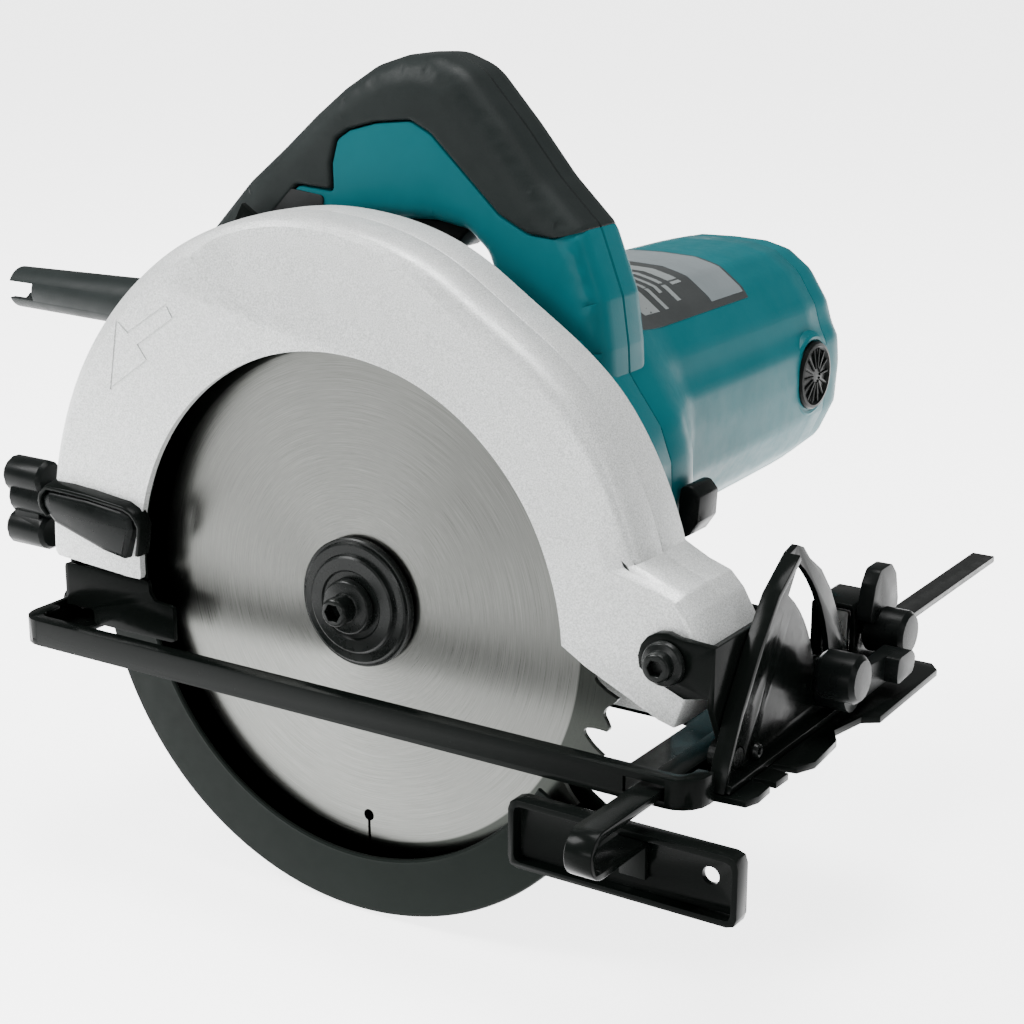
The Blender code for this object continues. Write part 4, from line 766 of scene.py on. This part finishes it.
join(lg, lathe("hub", "y", (0, 0), [(8.5, 18.6), (8.5, 26.6), (8.9, 27.0), (10.1, 27.0), (10.5, 26.6), (10.5, 18.6)], 72))
join(lg, prism("lug", "y", [polar(87.5, -207.6), polar(87.5, -203.0), polar(95.0, -203.0), polar(95.0, -207.6)], 9.2, 14.8))
show(lg, "v_lower_guard", GUARD, "lower_guard", ["lower_guard"], 30.0)

# ---------------------------------------------------------------- blade, flanges, bolt
pts = []
for k in range(30):
    a = -8.0 - k * 12.0
    for r, d in ((92.5, 0.0), (92.2, 0.5), (91.2, 1.3), (89.7, 2.3), (88.9, 3.2), (88.8, 3.9), (89.2, 4.5), (90.6, 5.4), (91.6, 6.2), (91.6, 6.7),
                 (91.2, 7.1), (88.8, 7.4), (86.4, 7.9), (84.9, 8.4), (84.2, 8.9), (84.1, 9.5), (84.8, 10.1), (86.3, 10.7), (88.2, 11.3), (90.4, 11.7)):
        pts.append(polar(r, a - d))
bl = prism("blade", "y", pts, 0.1, 1.7)
cut(bl, lathe("c", "y", (0, 0), [(-2, 0), (-2, 10.3), (4, 10.3), (4, 0)], 64))
for k in range(1):
    a = -89.0 + 90.0 * k
    c = polar(71.6, a)
    cut(bl, lathe("c", "y", c, [(-2, 0), (-2, 1.9), (4, 1.9), (4, 0)], 24))
    u, v = math.cos(math.radians(a)), math.sin(math.radians(a))
    w = 0.5
    cut(bl, prism("c", "y", [(c[0] - v * w, c[1] + u * w), (c[0] + v * w, c[1] - u * w),
                             (c[0] + 24 * u + v * w, c[1] + 24 * v - u * w), (c[0] + 24 * u - v * w, c[1] + 24 * v + u * w)], -2, 4))
bevelled(bl, 0.12, 1)
show(bl, "v_saw_blade", BLADE, "blade_arbor", ["saw_blade"], 20.0)

fl = lathe("fl", "y", (0, 0), [(-0.3, 4.3), (-0.3, 20.1), (-0.7, 20.5), (-2.4, 20.5), (-2.8, 20.1), (-2.8, 19.5), (-3.5, 19.2), (-3.8, 18.6), (-3.8, 15.9),
                               (-4.2, 15.7), (-5.0, 15.5), (-5.4, 14.9), (-5.4, 11.2), (-4.9, 10.6), (-4.9, 4.3)], 96)
show(fl, "v_outer_flange", OXIDE, "blade_arbor", ["outer_flange"], 24.0)
bb = lathe("bb", "y", (0, 0), [(-14.6, 0), (-14.6, 3.7), (-14.2, 4.3), (-13.6, 4.5), (-8.6, 4.5), (-8.4, 4.8), (-8.4, 8.0), (-8.0, 8.5), (-5.9, 8.8), (-5.7, 8.4),
                               (-5.7, 3.9), (10.0, 3.9), (10.0, 0)], 64)
cut(bb, lathe("c", "y", (0, 0), [(-16, 0), (-16, 3.0), (-10.4, 3.0), (-10.4, 0)], 6))
bevelled(bb, 0.12, 1)
show(bb, "v_blade_bolt", OXIDE, "blade_arbor", ["blade_bolt"], 24.0)

# depth pivot bolt with hex socket
pb = lathe("pb", "y", (PX, PZ), [(-21.0, 0), (-21.0, 3.6), (-20.5, 4.2), (-17.8, 4.4), (-17.3, 5.9), (-16.9, 6.3), (-15.6, 6.6), (-15.3, 6.3), (-15.3, 3.0),
                                 (27.4, 3.0), (27.4, 0)], 48)
cut(pb, lathe("c", "y", (PX, PZ), [(-22, 0), (-22, 2.5), (-18.4, 2.5), (-18.4, 0)], 6))
bevelled(pb, 0.12, 1)
show(pb, "v_depth_pivot_bolt", OXIDE, "bevel_frame", ["depth_pivot_bolt"], 24.0)

rv = lathe("rv", "x", (4.6, -20.6), [(131.2, 0), (131.2, 1.5), (133.3, 1.5), (133.3, 2.3), (133.9, 2.4), (134.8, 2.1), (135.1, 1.6), (134.9, 1.1), (134.2, 0.9),
                                     (134.2, 0)], 32)
show(rv, "v_quadrant_rivet", OXIDE, "base", ["quadrant_rivet"], 24.0)

# ---------------------------------------------------------------- D-handle
T_RAW = [(-29.8, 47.0), (-60.0, 45.0), (-88.0, 46.0), (-100.0, 52.0), (-104.0, 60.0),
         (-87.0, 67.5), (-84.0, 78.0), (-72.5, 93.0), (-61.0, 104.0), (-52.0, 113.0), (-44.5, 120.6), (-30.6, 119.8),
         (-30.8, 128.5), (-28.6, 136.0), (-24.0, 139.0), (-14.0, 141.8), (-1.0, 143.2), (6.5, 139.6), (31.0, 117.3), (41.0, 112.6), (50.0, 112.0), (57.6, 114.6),
         (61.0, 106.0), (65.4, 94.6), (67.6, 80.0), (68.4, 66.0), (28.2, 66.0), (28.2, 86.2), (28.4, 97.0), (25.0, 105.5), (18.0, 111.5), (6.0, 113.4), (-14.0, 112.6), (-38.0, 103.0),
         (-54.0, 91.0), (-63.0, 79.0), (-63.0, 70.0), (-58.0, 62.0), (-29.8, 61.0)]
T_RR = [0, 0, 6, 6, 2, 4, 6, 6, 0, 5, 3, 1.5, 3, 3, 3, 4, 5, 6, 8, 6, 6, 0.5, 4, 6, 8, 0, 0, 3, 8, 8, 6, 6, 8, 10, 8, 8, 6, 5, 0]
G_RAW = [(-104.0, 60.4), (-103.6, 70.0), (-99.0, 81.0), (-84.6, 103.0), (-68.0, 120.0), (-54.0, 131.2), (-40.6, 142.6),
         (-29.0, 151.5), (-17.0, 158.8), (-6.0, 162.3), (5.0, 162.9), (16.0, 159.0), (31.0, 143.0), (43.6, 128.2), (56.6, 116.0), (57.8, 114.4),
         (50.0, 112.4), (41.2, 113.0), (31.3, 117.8), (6.8, 140.1), (-0.9, 143.7), (-14.0, 142.3), (-24.3, 139.5), (-29.0, 136.4), (-31.3, 128.5), (-31.1, 120.4),
         (-44.7, 121.2), (-52.4, 113.4), (-61.4, 104.4), (-73.0, 93.3), (-84.5, 78.2), (-87.5, 68.0)]
G_RR = [1, 8, 14, 30, 30, 30, 30, 24, 20, 14, 14, 18, 30, 30, 4, 1, 6, 6, 8, 6, 5, 4, 3, 3, 3, 1.5, 3, 5, 0, 6, 6, 3]
T_P = rounded(T_RAW, T_RR, 5)
G_P = rounded(G_RAW, G_RR, 6)


def segs(pts):
    return [(pts[i], pts[i + 1]) for i in range(len(pts) - 1)]


def part_of(poly, a, b):
    """Stretch of a closed outline from the point nearest a to the one nearest b, going forwards."""
    ia = min(range(len(poly)), key=lambda i: math.hypot(poly[i][0] - a[0], poly[i][1] - a[1]))
    ib = min(range(len(poly)), key=lambda i: math.hypot(poly[i][0] - b[0], poly[i][1] - b[1]))
    out = [poly[ia]]
    i = ia
    while i != ib:
        i = (i + 1) % len(poly)
        out.append(poly[i])
    return out


g_outer = segs(part_of(G_P, (-104.0, 61.0), (57.4, 115.0)))
g_seam = segs(part_of(G_P, (57.6, 114.4), (-88.0, 67.6)))
t_seam = segs(part_of(T_P, (-104.0, 60.0), (56.5, 113.9)))
t_post = segs(part_of(T_P, (56.8, 113.4), (68.4, 66.0)))
t_hole = segs(part_of(T_P, (28.2, 66.0), (-29.8, 61.0)))
t_low = segs(part_of(T_P, (-29.8, 47.0), (-104.0, 60.0)))
for side, yo, ym in (("right", 30.2, 44.85), ("left", 59.8, 45.15)):
    s = 1 if ym > yo else -1
    h = pillow("h", T_P, ym, yo + 0.3 * s, [(t_hole, 5.5), (t_low, 5.0), (t_post, 7.5), (t_seam, 0.5), (g_outer, 9.0)], 1.7)
    g = pillow("g", G_P, ym, yo - 0.6 * s, [(g_outer, 9.5), (g_seam, 1.1), (t_hole, 5.5), (t_post, 6.0)], 1.7)
    if side == "left":
        cut(h, lathe("c", "y", (-8.0, 132.0), [(50, 0), (50, 4.2), (62, 4.2), (62, 0)], 32))
    cut(h, prism("c", "y", [(-14.5, 123.0), (-14.5, 100.0), (17.0, 100.0), (17.0, 123.0)], 36.4, 53.6))
    show(h, "v_handle_" + side, TEAL, "saw_body", ["handle_" + side], 40.0)
    for v in g.data.vertices:
        v.co.z = min(v.co.z, 0.18995)
    show(g, "v_grip_" + side, GRIP, "saw_body", ["grip_" + side], 40.0)

for nm in ("handle_screw_top", "handle_screw_rear"):
    so = frame["nodes"][nm]
    ob = bpy.data.objects.new("v_" + nm, so.data.copy())
    COL.objects.link(ob)
    for v in ob.data.vertices:
        if nm.endswith("top"):
            v.co.x -= 0.004
            v.co.z -= 0.010
        v.co.y -= 0.0006
    bevelled(ob, 0.2, 1)
    show(ob, "v_" + nm, OXIDE, BODY[nm], [nm])

# dark plate standing for the shade in the rear arm's recess, just above the case: painted shade
ins = prism("ins", "y", rounded([(-62.0, 105.5), (-53.0, 114.5), (-47.0, 119.5), (-34.0, 118.2), (-36.0, 110.0), (-42.0, 106.6)], 1.5, 3), 29.9, 31.6)
bevelled(ins, 0.3, 2)
show(ins, "v_handle_inset", RECESS_SHADE, "saw_body", ())

# ---------------------------------------------------------------- motor housing
GH = [(-27.0, -8.0), (-29.5, 10.0), (-29.0, 40.0), (-25.0, 66.0), (-16.0, 79.0), (-4.0, 84.2), (44.0, 85.6), (60.0, 83.0),
      (70.0, 69.0), (79.0, 57.0), (83.0, 46.0), (83.6, 34.0), (78.0, 18.0), (58.0, 2.0), (34.0, -14.0), (16.0, -22.6), (0.0, -24.3),
      (-14.0, -22.6), (-22.0, -16.5)]
BR = [(25.0, 90.2), (38.0, 89.8), (47.0, 87.6), (56.0, 81.0), (63.4, 69.5), (65.8, 61.5), (68.6, 56.0), (69.4, 46.0), (68.4, 31.0), (62.5, 18.5),
      (52.0, 9.5), (38.0, 5.2), (25.0, 4.2), (10.0, 5.2), (-4.0, 9.5), (-13.5, 18.5), (-18.4, 31.0), (-19.4, 46.0), (-18.6, 56.0), (-15.4, 61.5), (-13.4, 69.5),
      (-6.0, 81.0), (3.0, 87.6), (12.0, 89.8)]
NR = 120


def sample_ring(poly, n, c):
    out = []
    m = len(poly)
    for i in range(n):
        t = 2 * math.pi * (i + 0.5) / n
        dx, dz = math.cos(t), math.sin(t)
        best = None
        for k in range(m):
            (x0, z0), (x1, z1) = poly[k], poly[(k + 1) % m]
            ex, ez = x1 - x0, z1 - z0
            den = dx * ez - dz * ex
            if abs(den) < 1e-12:
                continue
            s = ((x0 - c[0]) * ez - (z0 - c[1]) * ex) / den
            u = ((x0 - c[0]) * dz - (z0 - c[1]) * dx) / den
            if s > 0 and -1e-9 <= u <= 1 + 1e-9 and (best is None or s > best):
                best = s
        out.append((c[0] + dx * best, c[1] + dz * best))
    return out


def mix(a, b, t):
    return [(p[0] + (q[0] - p[0]) * t, p[1] + (q[1] - p[1]) * t) for p, q in zip(a, b)]


def ease(t):
    return t * t * (3 - 2 * t)


MC = (25.0, 46.0)
ghr = sample_ring(rounded(GH, 7.0, 5), NR, MC)
brr = sample_ring(rounded(BR, 4.0, 4), NR, MC)


def scaled(ring, k, c=MC):
    return [(c[0] + (p[0] - c[0]) * k, c[1] + (p[1] - c[1]) * k) for p in ring]


rings, hs = [scaled(ghr, 0.985), scaled(ghr, 0.9965), ghr], [45.1, 45.35, 45.9]
for i in range(15):
    t = i / 14.0
    rings.append(mix(ghr, brr, ease(t)))
    hs.append(54.0 + 32.0 * t)
rings += [scaled(brr, 0.998), scaled(brr, 0.990), scaled(brr, 0.980), scaled(brr, 0.972), scaled(brr, 0.962)]
hs += [120.0, 150.0, 175.0, 185.2, 185.8]
mh = loft("mh", "y", rings, hs)
show(mh, "v_motor_housing", TEAL, "saw_body", ["motor_housing"], 40.0)
rings, hs = [scaled(brr, 0.952), scaled(brr, 0.962)], [186.1, 186.6]
for i in range(9):
    a = math.radians(90.0 * i / 8.0)
    rings.append(scaled(brr, 0.962 - 0.15 * (1 - math.cos(a))))
    hs.append(191.0 + 12.6 * math.sin(a))
ec = loft("ec", "y", rings, hs)
show(ec, "v_end_cover", TEAL, "saw_body", ["end_cover"], 40.0)

# brush cap and its boss
for sgn, nm in ((1, "front"), (-1, "rear")):
    x0 = MX + sgn * 41.3
    boss = lathe("boss", "x", (173.5, MZ), [(x0 - sgn * 6.0, 0), (x0 - sgn * 6.0, 16.5), (x0 + sgn * 0.2, 15.4), (x0 + sgn * 2.2, 14.6), (x0 + sgn * 2.8, 13.6),
                                            (x0 + sgn * 2.6, 12.6), (x0 + sgn * 0.6, 12.4), (x0 + sgn * 0.6, 0)], 64)
    show(boss, "v_brush_boss_" + nm, TEAL, "saw_body", (), 35.0)
    prof = [(x0 + sgn * 0.9, 0), (x0 + sgn * 0.9, 11.9), (x0 + sgn * 3.6, 11.9), (x0 + sgn * 4.4, 11.4), (x0 + sgn * 4.6, 10.4), (x0 + sgn * 4.0, 9.6), (x0 + sgn * 3.4, 9.2),
            (x0 + sgn * 3.9, 4.0), (x0 + sgn * 4.4, 0)]
    cap = lathe("cap", "x", (173.5, MZ), prof, 64)
    show(cap, "v_brush_cap_" + nm, NYLON, "saw_body", ["brush_cap_" + nm], 30.0)
    for k in range(14):
        a = math.radians(360.0 * k / 14)
        p0 = (x0 + sgn * 4.25, 173.5 + 2.6 * math.cos(a), MZ + 2.6 * math.sin(a))
        p1 = (x0 + sgn * 3.9, 173.5 + 9.6 * math.cos(a), MZ + 9.6 * math.sin(a))
        rb = tube("rib", [p0, p1], 0.42, 6)
        show(rb, "v_cap_rib_%s_%d" % (nm, k), NYLON, "saw_body", (), 40.0)

# rating plate: dark film with plain bars and blocks (no lettering)
def on_shell(a_deg, y, lift):
    """Point on the barrel at an angle about its axis and a station along it."""
    n_ = NR
    q = (a_deg / 360.0 * n_ - 0.5) % n_
    i0 = int(q) % n_
    i1 = (i0 + 1) % n_
    fr = q - int(q)
    k = 1.0 if y < 86.0 else (1.0 - 0.002 * (y - 86.0) / 34.0 if y < 120.0 else 0.998 - 0.008 * (y - 120.0) / 30.0)
    w = ease(min(1.0, max(0.0, (y - 54.0) / 32.0)))
    px = ghr[i0][0] * (1 - w) * (1 - fr) + brr[i0][0] * w * (1 - fr) + ghr[i1][0] * (1 - w) * fr + brr[i1][0] * w * fr
    pz = ghr[i0][1] * (1 - w) * (1 - fr) + brr[i0][1] * w * (1 - fr) + ghr[i1][1] * (1 - w) * fr + brr[i1][1] * w * fr
    px = MC[0] + (px - MC[0]) * k
    pz = MC[1] + (pz - MC[1]) * k
    L = math.hypot(px - MC[0], pz - MC[1])
    return (px + (px - MC[0]) / L * lift, y, pz + (pz - MC[1]) / L * lift)


def patch(a0, a1, y0, y1, lo, hi, na=26, ny=10):
    """Thin film on the barrel between two angles and two stations."""
    vs_, fs_ = [], []
    for lift in (lo, hi):
        for i in range(na + 1):
            for j in range(ny + 1):
                vs_.append(on_shell(a0 + (a1 - a0) * i / na, y0 + (y1 - y0) * j / ny, lift))
    M = (na + 1) * (ny + 1)
    for i in range(na):
        for j in range(ny):
            a = i * (ny + 1) + j
            b = a + ny + 1
            fs_.append([a, b, b + 1, a + 1])
            fs_.append([M + a, M + a + 1, M + b + 1, M + b])
    rim_ = [i * (ny + 1) for i in range(na + 1)] + [na * (ny + 1) + j for j in range(1, ny + 1)] + [i * (ny + 1) + ny for i in range(na - 1, -1, -1)] + [j for j in range(ny - 1, 0, -1)]
    for k in range(len(rim_)):
        a, b = rim_[k], rim_[(k + 1) % len(rim_)]
        fs_.append([a, b, M + b, M + a])
    return new_obj("patch", vs_, fs_)


LA0, LA1, LY0, LY1 = 44.0, 112.0, 60.0, 142.0
show(patch(LA0, LA1, LY0, LY1, -0.15, 0.22), "v_rating_plate", LABEL_D, "saw_body", ["rating_plate"])
show(patch(LA0 + 3.0, LA1 - 2.0, 118.0, LY1 - 1.5, 0.1, 0.30), "v_label_panel", LABEL, "saw_body", ())
for k, (a0, a1, y0, y1) in enumerate([(60, 108, 106, 112), (52, 104, 100, 102.5), (58, 108, 95, 97.0), (50, 100, 90, 92.0), (50, 66, 76, 86), (70, 108, 76, 86),
                                      (54, 104, 66, 70)]):
    show(patch(a0, a1, y0, y1, 0.1, 0.30, 14, 2), "v_label_bar_%d" % k, LABEL_L, "saw_body", ())

# ---------------------------------------------------------------- cord guard
cg = lathe("cg", "x", (45.0, 72.0), [(-184.0, 0), (-184.0, 6.6), (-183.2, 7.3), (-150.0, 7.8), (-118.0, 8.6), (-105.6, 8.9), (-105.2, 8.5), (-105.2, 0)], 48)
cut(cg, lathe("c", "x", (45.0, 72.0), [(-190, 0), (-190, 4.6), (-120, 4.6), (-120, 0)], 32))
cut(cg, box("c", -190.0, -172.0, 30.0, 60.0, 69.0, 75.0))
bevelled(cg, 0.35, 2)
show(cg, "v_cord_guard", GRIP, "saw_body", ["cord_guard"], 30.0)

# ---------------------------------------------------------------- small hidden or plain nodes keep the CAD mesh with their look

# ---------------------------------------------------------------- stage, lights, camera
fl_me = bpy.data.meshes.new("floor")
S = 12.0
ZF = -0.0748
fl_me.from_pydata([(-S, -S, ZF), (S, -S, ZF), (S, S, ZF), (-S, S, ZF)], [], [[0, 1, 2, 3]])
floor = bpy.data.objects.new("floor", fl_me)
COL.objects.link(floor)
fm = Mat("floor_look")
c = fm.mixc(fm.ramp(fm.noise(3.0, 3.0, 0.5), 0.3, 0.7, 0.0, 1.0), (0.88, 0.88, 0.88), (0.90, 0.90, 0.90))
fm.l(c, fm.b.inputs["Base Color"])
fm.b.inputs["Roughness"].default_value = 0.85
fm.b.inputs["Specular IOR Level"].default_value = 0.1
fm.b.inputs["Emission Color"].default_value = (1.0, 1.0, 1.0, 1.0)
sp = fm.n("ShaderNodeSeparateXYZ")
fm.l(fm.tc.outputs["Object"], sp.inputs[0])
mx = fm.n("ShaderNodeMath", operation="MULTIPLY")
fm.l(sp.outputs["X"], mx.inputs[0])
mx.inputs[1].default_value = 0.545
my = fm.n("ShaderNodeMath", operation="MULTIPLY_ADD")
fm.l(sp.outputs["Y"], my.inputs[0])
my.inputs[1].default_value = -0.839
fm.l(mx.outputs[0], my.inputs[2])
fm.l(fm.ramp(my.outputs[0], 0.11, 0.18, 3.6, 0.0), fm.b.inputs["Emission Strength"])
floor.data.materials.append(fm.m)

wd = bpy.data.worlds.new("studio")
SC.world = wd
wd.use_nodes = True
bg = wd.node_tree.nodes["Background"]
bg.inputs[0].default_value = (1.0, 1.0, 1.0, 1.0)
bg.inputs[1].default_value = 0.30


def area(name, loc, target, sx, sy, power, color=(1.0, 1.0, 1.0)):
    ld = bpy.data.lights.new(name, "AREA")
    ld.shape = "RECTANGLE"
    ld.size = sx
    ld.size_y = sy
    ld.energy = power
    ld.color = color
    ob = bpy.data.objects.new(name, ld)
    COL.objects.link(ob)
    ob.location = loc
    d = Vector(target) - Vector(loc)
    ob.rotation_euler = d.to_track_quat("-Z", "Y").to_euler()
    return ob


area("key", (-0.95, -0.75, 1.15), (0.0, 0.0, 0.03), 0.6, 0.7, 40.0)
area("top", (0.10, 0.15, 1.5), (0.0, 0.0, 0.05), 0.8, 0.8, 32.0)
area("side", (1.25, -0.25, 0.55), (0.0, 0.0, 0.05), 0.30, 0.8, 3.0)
area("low", (0.15, -1.5, 0.30), (0.0, 0.0, 0.02), 1.1, 0.25, 9.0)

AZ, EL = math.radians(33.004), math.radians(16.688)
cam = bpy.data.cameras.new("cam")
cam.lens = 75.7
cam.sensor_width = 36.0
co = bpy.data.objects.new("cam", cam)
COL.objects.link(co)
right = Vector((math.cos(AZ), math.sin(AZ), 0.0))
back = Vector((math.sin(AZ) * math.cos(EL), -math.cos(AZ) * math.cos(EL), math.sin(EL)))
up = back.cross(right)
co.matrix_world = Matrix(((right.x, up.x, back.x, 0.3806), (right.y, up.y, back.y, -0.5407), (right.z, up.z, back.z, 0.2435), (0, 0, 0, 1)))
SC.camera = co
